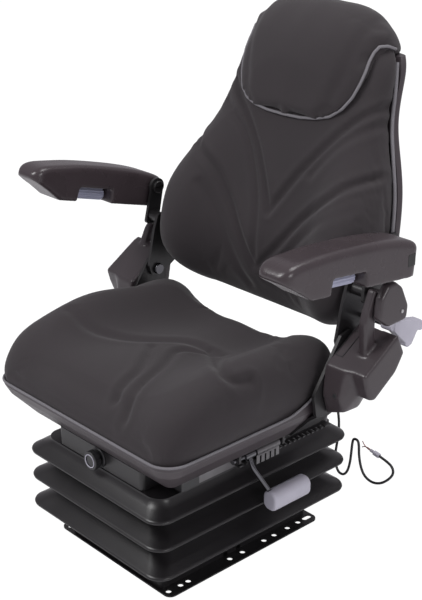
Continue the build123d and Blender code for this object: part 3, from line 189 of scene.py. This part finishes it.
tree.links.new(seen.outputs[0], mixed.inputs[2])
tree.links.new(mixed.outputs[0], out.inputs[0])


def lamp(name, place, power, size, aim=(0, 0, 0.45)):
    """A square area lamp that faces a point."""
    data = bpy.data.lights.new(name, "AREA")
    data.energy = power
    data.size = size
    obj = bpy.data.objects.new(name, data)
    bpy.context.scene.collection.objects.link(obj)
    obj.location = place
    obj.rotation_euler = (Vector(aim) - Vector(place)).to_track_quat("-Z", "Y").to_euler()
    return obj


lamp("key", (-0.9, -1.9, 2.6), 46, 1.1)
lamp("side", (2.7, -0.3, 1.5), 20, 1.0)
lamp("top", (0.5, 0.7, 2.8), 26, 1.2)

# %% [markdown]
# Finishes. Two effects are shared by several materials, so each is a node
# group: a woven cloth and a fine moulded grain. Both read Object coordinates,
# because the meshes stand where they are used and have no seams to follow.


# %% Node groups
def new_group(name, inputs, outputs):
    """An empty shader group with named sockets."""
    group = bpy.data.node_groups.new(name, "ShaderNodeTree")
    for label, kind, value in inputs:
        socket = group.interface.new_socket(label, in_out="INPUT", socket_type=kind)
        socket.default_value = value
    for label, kind in outputs:
        group.interface.new_socket(label, in_out="OUTPUT", socket_type=kind)
    return group, group.nodes.new("NodeGroupInput"), group.nodes.new("NodeGroupOutput")


def mix_colours(tree, kind="MIX"):
    """A new colour mix: its factor, A and B sockets and its result."""
    node = tree.nodes.new("ShaderNodeMix")
    node.data_type = "RGBA"
    node.blend_type = kind
    return node.inputs[0], node.inputs[6], node.inputs[7], node.outputs[2]


COLOUR = "NodeSocketColor"
NUMBER = "NodeSocketFloat"

# The cloth: two crossed sine waves lift the threads over the gaps between them.
cloth_group, cloth_in, cloth_out = new_group(
    "woven_cloth",
    [("Thread", COLOUR, (0.045, 0.04, 0.045, 1)), ("Gap", COLOUR, (0.02, 0.018, 0.02, 1)),
     ("Threads per metre", NUMBER, 1100.0), ("Shade", NUMBER, 0.25)],
    [("Color", COLOUR), ("Roughness", NUMBER), ("Height", NUMBER)])
t = cloth_group
place = t.nodes.new("ShaderNodeTexCoord")
weave = []
for axis in ((1.0, 0.25, 0.1), (0.1, 0.75, 1.0)):
    turned = t.nodes.new("ShaderNodeVectorMath")
    turned.operation = "DOT_PRODUCT"
    turned.inputs[1].default_value = axis
    scaled = t.nodes.new("ShaderNodeMath")
    scaled.operation = "MULTIPLY"
    wave = t.nodes.new("ShaderNodeMath")
    wave.operation = "SINE"
    t.links.new(place.outputs["Object"], turned.inputs[0])
    t.links.new(turned.outputs["Value"], scaled.inputs[0])
    t.links.new(cloth_in.outputs["Threads per metre"], scaled.inputs[1])
    t.links.new(scaled.outputs[0], wave.inputs[0])
    weave.append(wave)
crossed = t.nodes.new("ShaderNodeMath")
crossed.operation = "MULTIPLY"
t.links.new(weave[0].outputs[0], crossed.inputs[0])
t.links.new(weave[1].outputs[0], crossed.inputs[1])
height = t.nodes.new("ShaderNodeMath")
height.operation = "MULTIPLY_ADD"
height.inputs[1].default_value = 0.5
height.inputs[2].default_value = 0.5
t.links.new(crossed.outputs[0], height.inputs[0])
cloud = t.nodes.new("ShaderNodeTexNoise")
cloud.inputs["Scale"].default_value = 9.0
cloud.inputs["Detail"].default_value = 4.0
t.links.new(place.outputs["Object"], cloud.inputs["Vector"])
factor, a, b, thread_colour = mix_colours(t)
t.links.new(height.outputs[0], factor)
t.links.new(cloth_in.outputs["Gap"], a)
t.links.new(cloth_in.outputs["Thread"], b)
factor, a, b, cloth_colour = mix_colours(t, "MULTIPLY")
t.links.new(cloth_in.outputs["Shade"], factor)
t.links.new(thread_colour, a)
t.links.new(cloud.outputs["Fac"], b)
rough = t.nodes.new("ShaderNodeMapRange")
rough.inputs["To Min"].default_value = 0.78
rough.inputs["To Max"].default_value = 0.92
t.links.new(cloud.outputs["Fac"], rough.inputs["Value"])
t.links.new(cloth_colour, cloth_out.inputs["Color"])
t.links.new(rough.outputs[0], cloth_out.inputs["Roughness"])
t.links.new(height.outputs[0], cloth_out.inputs["Height"])

# The grain: fine noise for the surface, broad noise for soft patches, and lighter convex edges
# that are partly wear and partly a painted highlight.
grain_group, grain_in, grain_out = new_group(
    "moulded_grain",
    [("Colour", COLOUR, (0.1, 0.1, 0.1, 1)), ("Rub and highlight colour", COLOUR, (0.2, 0.2, 0.2, 1)),
     ("Grain size", NUMBER, 900.0), ("Rub and highlight amount", NUMBER, 0.3), ("Smooth", NUMBER, 0.35),
     ("Rough", NUMBER, 0.6)],
    [("Color", COLOUR), ("Roughness", NUMBER), ("Height", NUMBER)])
t = grain_group
place = t.nodes.new("ShaderNodeTexCoord")
fine = t.nodes.new("ShaderNodeTexNoise")
fine.inputs["Detail"].default_value = 3.0
t.links.new(place.outputs["Object"], fine.inputs["Vector"])
t.links.new(grain_in.outputs["Grain size"], fine.inputs["Scale"])
broad = t.nodes.new("ShaderNodeTexNoise")
broad.inputs["Scale"].default_value = 14.0
broad.inputs["Detail"].default_value = 5.0
t.links.new(place.outputs["Object"], broad.inputs["Vector"])
geometry = t.nodes.new("ShaderNodeNewGeometry")
# Convex edges get the lighter colour: partly wear, partly a painted highlight where edges catch
# the light.
edges = t.nodes.new("ShaderNodeMapRange")
edges.inputs["From Min"].default_value = 0.53
edges.inputs["From Max"].default_value = 0.62
t.links.new(geometry.outputs["Pointiness"], edges.inputs["Value"])
rub_and_highlight_mask = t.nodes.new("ShaderNodeMath")
rub_and_highlight_mask.operation = "MULTIPLY"
t.links.new(edges.outputs[0], rub_and_highlight_mask.inputs[0])
t.links.new(broad.outputs["Fac"], rub_and_highlight_mask.inputs[1])
amount = t.nodes.new("ShaderNodeMath")
amount.operation = "MULTIPLY"
t.links.new(rub_and_highlight_mask.outputs[0], amount.inputs[0])
t.links.new(grain_in.outputs["Rub and highlight amount"], amount.inputs[1])
factor, a, b, rub_and_highlight_mixed = mix_colours(t)
t.links.new(amount.outputs[0], factor)
t.links.new(grain_in.outputs["Colour"], a)
t.links.new(grain_in.outputs["Rub and highlight colour"], b)
factor, a, b, grain_colour = mix_colours(t, "OVERLAY")
factor.default_value = 0.18
t.links.new(rub_and_highlight_mixed, a)
t.links.new(broad.outputs["Fac"], b)
rough = t.nodes.new("ShaderNodeMapRange")
t.links.new(broad.outputs["Fac"], rough.inputs["Value"])
t.links.new(grain_in.outputs["Smooth"], rough.inputs["To Min"])
t.links.new(grain_in.outputs["Rough"], rough.inputs["To Max"])
t.links.new(grain_colour, grain_out.inputs["Color"])
t.links.new(rough.outputs[0], grain_out.inputs["Roughness"])
t.links.new(fine.outputs["Fac"], grain_out.inputs["Height"])


# %% [markdown]
# Each finish is one of the two groups with its own colours and roughness. They
# are listed by the material slot that the record names, so every CAD node finds
# its finish there, and the pieces modelled below take theirs from the same list.

# %% Materials from the groups
def material_from(name, group, values, bump, metallic=0.0, **plain):
    """A Principled material fed by one group, with a bump of that depth in metres."""
    material = bpy.data.materials.new(name)
    material.use_nodes = True
    tree = material.node_tree
    shader = tree.nodes["Principled BSDF"]
    node = tree.nodes.new("ShaderNodeGroup")
    node.node_tree = group
    for label, value in values.items():
        node.inputs[label].default_value = value
    relief = tree.nodes.new("ShaderNodeBump")
    relief.inputs["Distance"].default_value = bump
    relief.inputs["Strength"].default_value = 0.6
    tree.links.new(node.outputs["Color"], shader.inputs["Base Color"])
    tree.links.new(node.outputs["Roughness"], shader.inputs["Roughness"])
    tree.links.new(node.outputs["Height"], relief.inputs["Height"])
    tree.links.new(relief.outputs["Normal"], shader.inputs["Normal"])
    shader.inputs["Metallic"].default_value = metallic
    for label, value in plain.items():
        shader.inputs[label].default_value = value
    return material


def plastic(name, colour, rub_and_highlight_colour, smooth, rough, size=900.0, bump=0.00012, amount=0.3, **plain):
    """A moulded or painted finish with grain, soft patches and lighter edges, which are partly
    wear and partly a painted highlight.
    """
    values = {"Colour": (*colour, 1), "Rub and highlight colour": (*rub_and_highlight_colour, 1), "Grain size": size,
              "Rub and highlight amount": amount, "Smooth": smooth, "Rough": rough}
    return material_from(name, grain_group, values, bump, **plain)


cloth = material_from("charcoal_cloth", cloth_group, {
    "Thread": (0.034, 0.0265, 0.0305, 1), "Gap": (0.013, 0.0098, 0.0115, 1),
    "Threads per metre": 3200.0, "Shade": 0.2}, 0.00025)
cloth.node_tree.nodes["Principled BSDF"].inputs["Sheen Weight"].default_value = 0.12
cloth.node_tree.nodes["Principled BSDF"].inputs["Sheen Roughness"].default_value = 0.5
piping = material_from("piping_cloth", cloth_group, {
    "Thread": (0.26, 0.25, 0.27, 1), "Gap": (0.12, 0.115, 0.125, 1),
    "Threads per metre": 4200.0, "Shade": 0.15}, 0.0002)

# The second colour of each finish is its lighter edge colour: partly wear, partly a painted
# highlight; bluish on the bellows rubber, near white (a painted glint) on the bright rod.
finishes = {
    "black_steel": plastic("black_steel", (0.011, 0.010, 0.011), (0.06, 0.06, 0.06), 0.26, 0.42,
                           size=400.0, bump=0.00006),
    "fabric": cloth,
    "headrest_fabric": cloth,
    "rubber": plastic("bellows_rubber", (0.0085, 0.0075, 0.0085), (0.03, 0.03, 0.033), 0.27, 0.42,
                      size=500.0, bump=0.00008, amount=0.2),
    "buffer_rubber": plastic("buffer_rubber", (0.03, 0.03, 0.03), (0.05, 0.05, 0.05), 0.6, 0.8),
    "pan_plastic": plastic("pan_plastic", (0.046, 0.037, 0.042), (0.12, 0.11, 0.12), 0.34, 0.5),
    "cover_plastic": plastic("cover_plastic", (0.046, 0.037, 0.041), (0.13, 0.115, 0.125),
                             0.24, 0.38),
    "armrest_skin": plastic("armrest_skin", (0.044, 0.034, 0.038), (0.12, 0.105, 0.115), 0.2, 0.34,
                            size=600.0, bump=0.0002),
    "light_plastic": plastic("light_plastic", (0.46, 0.45, 0.52), (0.6, 0.6, 0.66), 0.33, 0.48),
    "wheel_plastic": plastic("wheel_plastic", (0.33, 0.34, 0.45), (0.5, 0.5, 0.6), 0.33, 0.48),
    "black_plastic": plastic("black_plastic", (0.022, 0.022, 0.024), (0.08, 0.08, 0.08),
                             0.35, 0.5),
    "steel": plastic("machined_steel", (0.5, 0.5, 0.5), (0.7, 0.7, 0.7), 0.25, 0.4,
                     metallic=1.0, bump=0.00003),
    "rail_steel": plastic("rail_steel", (0.1, 0.095, 0.1), (0.6, 0.6, 0.6), 0.28, 0.45,
                          metallic=1.0, bump=0.00004),
    "bright_rod": plastic("bright_rod", (0.13, 0.13, 0.14), (0.85, 0.85, 0.85), 0.1, 0.2,
                          metallic=1.0, bump=0.00001),
    "aluminium": plastic("aluminium", (0.5, 0.5, 0.52), (0.7, 0.7, 0.7), 0.35, 0.5, metallic=1.0),
    "cable_skin": plastic("cable_skin", (0.018, 0.018, 0.02), (0.05, 0.05, 0.05), 0.35, 0.5),
    "wire_skin": plastic("wire_skin", (0.3, 0.08, 0.07), (0.4, 0.3, 0.3), 0.35, 0.5),
}
for row in frame["record"]["subparts"]:
    target = nodes[row["node"]]
    target.data.materials.clear()
    target.data.materials.append(finishes[row["material_slot"]])
print("finishes", len(finishes))

# %% [markdown]
# The foam cushions. On the real seat each is cut foam under tight cloth, so the
# shape is full, and sewn channels pull the cloth in. The CAD solid gives the
# form: it is remeshed, inflated a little by a cloth simulation, and then the
# channels are pressed in along the lines where they are sewn.


# %% Inflate and sew
CLOTH_STEPS = 14
PRESSURE = 4.0
STIFFNESS = 25
SHOULDER = 0.22
SHOULDER_AT = 2.2
SHOULDER_WIDTH = 1.1


def inflate(obj, voxel, cap, pinned):
    """Swells a remeshed form with a pressurised cloth, by no more than cap."""
    remesh = obj.modifiers.new("remesh", "REMESH")
    remesh.mode = "VOXEL"
    remesh.voxel_size = voxel
    apply_modifiers(obj)
    start = points_of(obj)
    group = obj.vertex_groups.new(name="held")
    held = [int(i) for i in np.nonzero(pinned(start))[0]]
    group.add(held, 1.0, "REPLACE")
    soft = obj.modifiers.new("cloth", "CLOTH")
    soft.settings.quality = 4
    soft.settings.use_pressure = True
    soft.settings.uniform_pressure_force = PRESSURE
    soft.settings.tension_stiffness = STIFFNESS
    soft.settings.compression_stiffness = STIFFNESS
    soft.settings.bending_stiffness = 2.0
    soft.settings.effector_weights.gravity = 0.0
    soft.settings.vertex_group_mass = "held"
    soft.point_cache.frame_start = 1
    soft.point_cache.frame_end = CLOTH_STEPS
    for step in range(1, CLOTH_STEPS + 1):
        bpy.context.scene.frame_set(step)
    apply_modifiers(obj)
    bpy.context.scene.frame_set(1)
    moved = points_of(obj) - start
    length = np.linalg.norm(moved, axis=1, keepdims=True)
    moved *= np.minimum(1.0, cap / np.maximum(length, 1e-9))
    move_points(obj, start + moved)
    obj.vertex_groups.clear()
    print(obj.name, "vertices", len(start), "largest move", round(float(length.max()), 4))


def distance_to(points, line, weights):
    """The distance of every point from a polyline, with each axis weighted."""
    points = points * weights
    best = np.full(len(points), 1e9)
    for a, b in zip(line, line[1:]):
        a = np.array(a) * weights
        b = np.array(b) * weights
        along = np.clip(((points - a) @ (b - a)) / ((b - a) @ (b - a)), 0, 1)
        best = np.minimum(best, np.linalg.norm(points - (a + along[:, None] * (b - a)), axis=1))
    return best


def rounded(line, steps=3):
    """A polyline in millimetres with its corners cut, in metres."""
    line = [np.array(p, float) / 1000 for p in line]
    for _ in range(steps):
        cut = [line[0]]
        for a, b in zip(line, line[1:]):
            cut += [0.75 * a + 0.25 * b, 0.25 * a + 0.75 * b]
        line = cut + [line[-1]]
    return line


def sew(obj, channels, weights):
    """Presses channels in: each is a line, a depth and a half width, in millimetres.
    Where channels meet, the deepest counts, so that a crossing isn't a pit. The
    foam stands up a little on both sides of a channel."""
    points = points_of(obj)
    normals = np.zeros(len(points) * 3)
    obj.data.vertices.foreach_get("normal", normals)
    normals = normals.reshape(-1, 3)
    drop = np.zeros(len(points))
    swell = np.zeros(len(points))
    for line, depth, width in channels:
        near = distance_to(points, rounded(line), np.array(weights)) / (width / 1000)
        beside = (near - SHOULDER_AT) / SHOULDER_WIDTH
        drop = np.maximum(drop, (depth / 1000) * np.exp(-near ** 2))
        swell = np.maximum(swell, SHOULDER * (depth / 1000) * np.exp(-beside ** 2))
    shift = drop - swell * (1 - np.clip(drop / 0.001, 0, 1))
    move_points(obj, points - normals * shift[:, None])


def finish_foam(obj, body, replaced):
    fine = obj.modifiers.new("subdivision", "SUBSURF")
    fine.levels = 1
    fine.render_levels = 1
    apply_modifiers(obj)
    bpy.ops.object.shade_smooth()
    obj.data.materials.append(cloth)
    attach(obj, body)
    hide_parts(replaced)


# %% [markdown]
# The seat cushion. Its lower edge is held by the pan, so that part doesn't swell.
# One long channel crosses it, two run to the front edge and one goes over the
# bolster on the sitter's left, where the photograph shows them.

# %% Seat cushion
RIM = 0.311
HELD_ABOVE_RIM = 0.012
seat = copy_solid("seat_cushion", "seat_cushion_cloth")
inflate(seat, 0.0052, 0.006, lambda p: p[:, 2] < RIM + HELD_ABOVE_RIM)
sew(seat, [
    ([(-185, -128, 415), (-129, -127, 403), (-95, -105, 396), (-61, -76, 388), (-30, -38, 382),
      (1, -5, 377), (42, 2, 384), (82, 1, 395)], 4.5, 9.0),
    ([(82, 1, 395), (50, -12, 386), (16, -41, 382), (40, -82, 392), (65, -123, 399),
      (91, -191, 390), (115, -246, 363)], 6.0, 6.5),
    ([(-17, -74, 377), (20, -118, 390), (50, -157, 398), (62, -197, 387), (74, -229, 371)],
     6.0, 6.5),
    ([(48, 4, 386), (96, -30, 400), (146, -74, 416), (186, -104, 419), (212, -114, 414),
      (228, -100, 408), (232, -70, 408)], 9.0, 6.5)], (1, 1, 0.35))
finish_foam(seat, "seat_slide", "seat_cushion")

# %% [markdown]
# The backrest cushion. Its rear face sits in the shell and is held. The channels
# fan out from the small of the back, as the panels of the cloth do.

# %% Backrest cushion
back = copy_solid("backrest_cushion", "backrest_cloth")
inflate(back, 0.0052, 0.005, lambda p: p[:, 1] > 0.262 - (0.6 - p[:, 2]) * 0.12 - 0.01)
sew(back, [
    ([(12, 188, 588), (-8, 200, 625), (-26, 209, 657), (-52, 221, 700), (-88, 236, 742),
      (-133, 253, 773), (-165, 270, 792)], 6.5, 6.0),
    ([(-165, 246, 754), (-120, 235, 735), (-84, 224, 711), (-62, 216, 680), (-48, 208, 652),
      (-32, 198, 620), (-21, 190, 593), (-8, 178, 550), (-4, 170, 500)], 5.0, 6.5),
    ([(12, 188, 588), (55, 209, 656), (84, 219, 690), (113, 229, 723), (151, 254, 770),
      (182, 304, 792)], 6.5, 6.0),
    ([(92, 215, 670), (122, 230, 710), (152, 248, 742), (184, 290, 762)], 4.0, 7.0),
    ([(-205, 215, 686), (-189, 196, 674), (-135, 190, 645), (-96, 186, 598), (-52, 172, 541),
      (-6, 168, 484)], 6.5, 6.0),
    ([(-150, 176, 610), (-107, 168, 559), (-58, 168, 482), (-24, 173, 440)], 3.5, 8.0),
    ([(6, 168, 484), (48, 171, 528), (94, 186, 595), (161, 180, 646), (188, 194, 671),
      (216, 240, 684)], 6.5, 6.0),
    ([(24, 170, 470), (70, 170, 520), (115, 180, 572), (170, 180, 612), (210, 205, 634)],
     4.5, 7.0),
    ([(150, 180, 560), (180, 185, 568), (214, 220, 574)], 3.0, 8.0)], (1, 0.3, 1))
finish_foam(back, "backrest", "backrest_cushion")

# %% [markdown]
# The headrest pillow wraps the top of the backrest. It swells the most, and a
# shallow fold runs down near each side.

# %% Headrest pillow
head = copy_solid("headrest_cushion", "headrest_cloth")
inflate(head, 0.005, 0.008, lambda p: p[:, 1] > 0.33)
sew(head, [([(side * 128, 310, 930), (side * 124, 275, 880), (side * 112, 250, 830),
             (side * 98, 236, 786)], 3.0, 9.0) for side in (-1, 1)], (1, 0.2, 1))
soften = head.modifiers.new("soften", "SMOOTH")
soften.factor = 0.5
soften.iterations = 6
finish_foam(head, "backrest", "headrest_cushion")

# %% [markdown]
# Piping is a thin cord sewn into a seam. Here it is a curve with a round bevel
# that runs along the edges where two panels meet. On the headrest the seam is
# laid over the swollen cloth, because the CAD edge lies under it.


# %% Piping
def pipe(name, line, radius, body, closed=False, material=piping):
    """A thin tube along points in millimetres."""
    data = bpy.data.curves.new(name, "CURVE")
    data.dimensions = "3D"
    data.bevel_depth = radius
    data.bevel_resolution = 4
    data.resolution_u = 6
    spline = data.splines.new("NURBS")
    spline.points.add(len(line) - 1)
    for point, (x, y, z) in zip(spline.points, line):
        point.co = (x / 1000, y / 1000, z / 1000, 1)
    spline.order_u = 3
    spline.use_endpoint_u = not closed
    spline.use_cyclic_u = closed
    obj = bpy.data.objects.new(name, data)
    bpy.context.scene.collection.objects.link(obj)
    data.materials.append(material)
    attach(obj, body)
    return obj


PAN_HALF, PAN_FRONT, PAN_CORNER = 238.0, -262.0, 42.0
PAN_EDGE_Z = 312.5
CORNER_STEPS = 6
out = PAN_HALF + 1
rim_line = [(out, 96, 346), (out, 80, 336), (out, 62, 327), (out, 30, 316),
            (out, 10, PAN_EDGE_Z), (out, -60, PAN_EDGE_Z), (out, -150, PAN_EDGE_Z)]
for i in range(CORNER_STEPS + 1):
    turn = radians(90 * i / CORNER_STEPS)
    rim_line.append((PAN_HALF - PAN_CORNER + (PAN_CORNER + 1) * cos(turn),
                     PAN_FRONT + PAN_CORNER - (PAN_CORNER + 1) * sin(turn), PAN_EDGE_Z))
rim_line = rim_line + [(60, PAN_FRONT - 1, PAN_EDGE_Z)]
rim_line = rim_line + [(-x, y, z) for x, y, z in reversed(rim_line)]
pipe("pan_edge_piping", rim_line, 0.0023, "seat_slide")

REACH_OUT, REACH = 0.03, 0.05
LOWEST, HIGHEST = -0.004, 0.012
EVEN = 9


def lay_on(meshes, line, lift, middle, parts=4):
    """Lays a line in millimetres on the outermost of some meshes, lifted off a little.
    Outward is level and away from the middle; the height over the line is evened out."""
    spots = [Vector(a).lerp(Vector(b), i / parts) / 1000
             for a, b in zip(line, line[1:]) for i in range(parts)]
    outwards = []
    heights = []
    for spot in spots:
        outward = Vector((spot.x, spot.y - middle / 1000, 0)).normalized()
        start = spot + outward * REACH_OUT
        hits = [mesh.ray_cast(start, -outward, distance=REACH) for mesh in meshes]
        found = [(hit[1] - spot).dot(outward) for hit in hits if hit[0]]
        outwards.append(outward)
        heights.append(min(HIGHEST, max(found + [LOWEST])))
    longer = np.pad(heights, EVEN // 2, mode="edge")
    even = np.convolve(longer, np.ones(EVEN) / EVEN, mode="valid")
    return [tuple((spot + outward * (height + lift)) * 1000)
            for spot, outward, height in zip(spots, outwards, even)]


HEADREST_MIDDLE_Y = 345
seam = [(158, 344, 883), (157, 322, 891), (151, 307, 891), (149, 297, 882), (148, 286, 867),
        (147, 278, 851), (143, 269, 831), (136, 258, 807), (124, 246, 786), (104, 237, 771),
        (76, 231, 764), (42, 228, 760), (0, 227, 759)]
seam = seam + [(-x, y, z) for x, y, z in reversed(seam[:-1])]
pipe("headrest_piping", lay_on([head, back], seam, 0.0012, HEADREST_MIDDLE_Y), 0.0027, "backrest")


def rear_y(z):
    """The rear face of the backrest foam, as in the CAD model."""
    return 262 + (z - 600) * 0.30 if z > 600 else 262 - (600 - z) * 0.12


back_edge = [(184, 412), (214, 438), (236, 480), (241, 540), (240, 600), (228, 650), (208, 700),
             (184, 760), (176, 820), (165, 862)]
for side, label in ((1, "left"), (-1, "right")):
    pipe("backrest_piping_" + label,
         [(side * (x + 0.5), rear_y(z) - 1.5, z) for x, z in back_edge], 0.0034, "backrest")

# %% [markdown]
# The bellows is one moulding of soft rubber with three folds. It starts as a
# flat loop with rounded corners, and the loop is extruded up and widened or
# narrowed at each level, the way a lathe shapes a round part. Each level is a
# height and how far it stands in from the widest ridge.

# %% Bellows
BELLOWS_X, BELLOWS_Y = 0.188, 0.238
WALL = 0.0028
levels = [(0.021, 0.0556), (0.030, 0.0556), (0.033, 0.053)]
valleys = (0.0975, 0.1525)
for number, ridge in enumerate((0.069, 0.126, 0.179)):
    levels += [(ridge - 0.012, 0.0125), (ridge - 0.0045, 0.0035), (ridge - 0.0028, 0.0008),
               (ridge, 0.0), (ridge + 0.0022, 0.0008), (ridge + 0.0036, 0.0036)]
    if number < 2:
        valley = valleys[number]
        levels += [((ridge + valley) / 2, 0.0195), (valley - 0.004, 0.035), (valley, 0.038),
                   (valley + 0.004, 0.035)]
levels += [(0.192, 0.0155), (0.2, 0.0265), (0.2055, 0.0275), (0.20555, 0.045), (0.2056, 0.072)]
bpy.ops.object.select_all(action="DESELECT")
bpy.ops.mesh.primitive_plane_add(size=1, location=(0, 0, 0))
bellows = bpy.context.object
bellows.name = "bellows_rubber"
bpy.ops.object.mode_set(mode="EDIT")
bpy.ops.mesh.select_all(action="SELECT")
z, inset = levels[0]
bpy.ops.transform.resize(value=(2 * (BELLOWS_X - inset), 2 * (BELLOWS_Y - inset * 0.92), 1))
bpy.ops.transform.translate(value=(0, 0, z))
bpy.ops.mesh.bevel(offset=0.024, offset_pct=0, segments=12, profile=0.5, affect="VERTICES")
bpy.ops.mesh.delete(type="ONLY_FACE")
for (z0, inset0), (z1, inset1) in zip(levels, levels[1:]):
    bpy.ops.mesh.select_all(action="DESELECT")
    bpy.ops.object.mode_set(mode="OBJECT")
    for edge in bellows.data.edges:
        a, b = (bellows.data.vertices[i].co.z for i in edge.vertices)
        edge.select = abs(a - z0) < 1e-6 and abs(b - z0) < 1e-6
    bpy.ops.object.mode_set(mode="EDIT")
    bpy.ops.mesh.select_mode(type="EDGE")
    bpy.ops.mesh.extrude_region_move(TRANSFORM_OT_translate={"value": (0, 0, z1 - z0)})
    grow_x = (BELLOWS_X - inset1) / (BELLOWS_X - inset0)
    grow_y = (BELLOWS_Y - inset1 * 0.95) / (BELLOWS_Y - inset0 * 0.95)
    bpy.ops.transform.resize(value=(grow_x, grow_y, 1), center_override=(0, 0, z1))
bpy.ops.mesh.select_all(action="SELECT")
bpy.ops.mesh.normals_make_consistent(inside=False)
bpy.ops.object.mode_set(mode="OBJECT")
wall = bellows.modifiers.new("wall", "SOLIDIFY")
wall.thickness = WALL
wall.offset = -1
apply_modifiers(bellows)
bpy.ops.object.shade_smooth_by_angle(angle=radians(50))
bellows.data.materials.append(finishes["rubber"])
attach(bellows, "base")
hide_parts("bellows")
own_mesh(bellows)
print("bellows levels", len(levels), "faces", len(bellows.data.polygons))

sleeve = copy_solid("air_spring_sleeve", "air_spring_rubber")
bpy.ops.object.shade_smooth_by_angle(angle=radians(35))
sleeve.data.materials.append(finishes["rubber"])
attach(sleeve, "base")
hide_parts("air_spring_sleeve")
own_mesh(sleeve)

# %% [markdown]
# Moulded skins. Armrests and covers are soft-edged mouldings: the CAD solid is
# exact but crisp, so a copy is remeshed finely and relaxed, which rounds every
# edge by a few millimetres as a mould does.


# %% Soft-edged mouldings
def mould(node, name, body, slot, voxel=0.0022, passes=6):
    """A softened copy that stands for the CAD solid."""
    obj = copy_solid(node, name)
    remesh = obj.modifiers.new("remesh", "REMESH")
    remesh.mode = "VOXEL"
    remesh.voxel_size = voxel
    relax = obj.modifiers.new("relax", "SMOOTH")
    relax.factor = 0.5
    relax.iterations = passes
    apply_modifiers(obj)
    bpy.ops.object.shade_smooth()
    obj.data.materials.append(finishes[slot])
    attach(obj, body)
    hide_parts(node)
    print(name, "faces", len(obj.data.polygons))
    return obj


for side in ("left", "right"):
    mould("armrest_" + side, "armrest_skin_" + side, side + "_armrest", "armrest_skin", passes=14)
    mould("side_cover_" + side, "cover_" + side, "seat_slide", "cover_plastic", passes=24)
mould("ear_cover_left", "ear_left", "backrest", "cover_plastic", voxel=0.0018, passes=14)
mould("recliner_lever", "recliner_paddle", "recliner_handle", "light_plastic", voxel=0.0014)
mould("lever_grip", "grip", "slide_handle", "light_plastic", voxel=0.0016, passes=5)

# %% [markdown]
# Small details that the photograph shows: a snap-in panel's joint line and a
# plug on the cover, a screw on the ear, a square cap on the armrest and a
# light ring on the height knob, which is left bare inside the ring.

# %% Small details
# Each corner is given twice, which keeps it sharp on the curve.
panel = [(261, 99), (277, 99), (277, 146), (261, 146), (261, 99)]
pipe("panel_line", [(x, y - 0.4, 400.6 + (y - 78) * 0.639) for x, y in panel for _ in range(2)],
     0.0006, "seat_slide", material=finishes["black_plastic"])


def button(name, place, radius, depth, axis, body, slot):
    """A small bevelled disc along an axis, in millimetres."""
    turn = {"X": (0, pi / 2, 0), "Y": (pi / 2, 0, 0)}[axis]
    bpy.ops.object.select_all(action="DESELECT")
    bpy.ops.mesh.primitive_cylinder_add(vertices=32, radius=radius / 1000, depth=depth / 1000,
                                        location=[c / 1000 for c in place], rotation=turn)
    obj = bpy.context.object
    obj.name = name
    bpy.ops.object.transform_apply(location=True, rotation=True, scale=True)
    edge = obj.modifiers.new("edge", "BEVEL")
    edge.width = 0.0004
    edge.segments = 3
    apply_modifiers(obj)
    bpy.ops.object.shade_smooth_by_angle(angle=radians(40))
    obj.data.materials.append(finishes[slot])
    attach(obj, body)
    return obj


button("cover_plug", (286, 73.0, 352), 4.2, 3.0, "Y", "seat_slide", "black_plastic")
button("ear_screw", (335.2, 178, 493), 3.4, 2.4, "X", "backrest", "steel")
bpy.ops.object.select_all(action="DESELECT")
bpy.ops.mesh.primitive_cube_add(size=1, location=(0.3568, 0.1665, 0.593))
cap = bpy.context.object
cap.name = "armrest_cap"
cap.scale = (0.0016, 0.018, 0.021)
bpy.ops.object.transform_apply(location=True, rotation=True, scale=True)
edge = cap.modifiers.new("edge", "BEVEL")
edge.width = 0.0006
edge.segments = 3
apply_modifiers(cap)
cap.data.materials.append(finishes["buffer_rubber"])
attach(cap, "left_armrest")
low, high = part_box("height_knob")
bpy.ops.object.select_all(action="DESELECT")
bpy.ops.mesh.primitive_torus_add(major_radius=0.0118, minor_radius=0.0009, major_segments=48,
                                 minor_segments=10, rotation=(pi / 2, 0, 0),
                                 location=((low[0] + high[0]) / 2, low[1] - 0.0001,
                                           (low[2] + high[2]) / 2))
ring = bpy.context.object
ring.name = "knob_ring"
bpy.ops.object.transform_apply(location=True, rotation=True, scale=True)
bpy.ops.object.shade_smooth()
ring.data.materials.append(finishes["light_plastic"])
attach(ring, "knob")

# %% [markdown]
# The supply cable leaves the gland at the rear, hangs, folds once and ends in
# a crimped joint. It is one smooth NURBS line with the route's own points, and a mesh of
# the bare curve is taken before it gets its thickness.

# %% Cable
ROUTE = (
    (0.108, 0.198, 0.221), (0.108, 0.258, 0.221), (0.114, 0.279, 0.203), (0.124, 0.278, 0.168),
    (0.131, 0.268, 0.138), (0.1325, 0.260, 0.108), (0.136, 0.258, 0.086), (0.144, 0.258, 0.071),
    (0.157, 0.258, 0.070), (0.167, 0.258, 0.082), (0.1725, 0.258, 0.104),
    (0.1745, 0.258, 0.130), (0.1755, 0.258, 0.147), (0.178, 0.258, 0.159),
    (0.189, 0.2585, 0.159), (0.1915, 0.259, 0.147), (0.1925, 0.259, 0.128),
    (0.198, 0.2595, 0.104), (0.208, 0.260, 0.088), (0.226, 0.2605, 0.082),
    (0.246, 0.261, 0.088), (0.264, 0.2615, 0.104), (0.275, 0.262, 0.121),
    (0.271, 0.2625, 0.134), (0.256, 0.263, 0.140), (0.238, 0.2635, 0.143))
cable_data = bpy.data.curves.new("supply_cable", "CURVE")
cable_data.dimensions = "3D"
cable_data.resolution_u = 12
line = cable_data.splines.new("NURBS")
line.points.add(len(ROUTE) - 1)
for point, place in zip(line.points, ROUTE):
    point.co = (*place, 1)
line.order_u = 3
line.use_endpoint_u = True
cable = bpy.data.objects.new("supply_cable", cable_data)
bpy.context.scene.collection.objects.link(cable)
bpy.context.view_layer.update()
bare = bpy.data.meshes.new_from_object(cable)
cable_data.bevel_depth = 0.0025
cable_data.bevel_resolution = 5
cable_data.materials.append(finishes["cable_skin"])
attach(cable, "suspension_top")
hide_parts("cable")
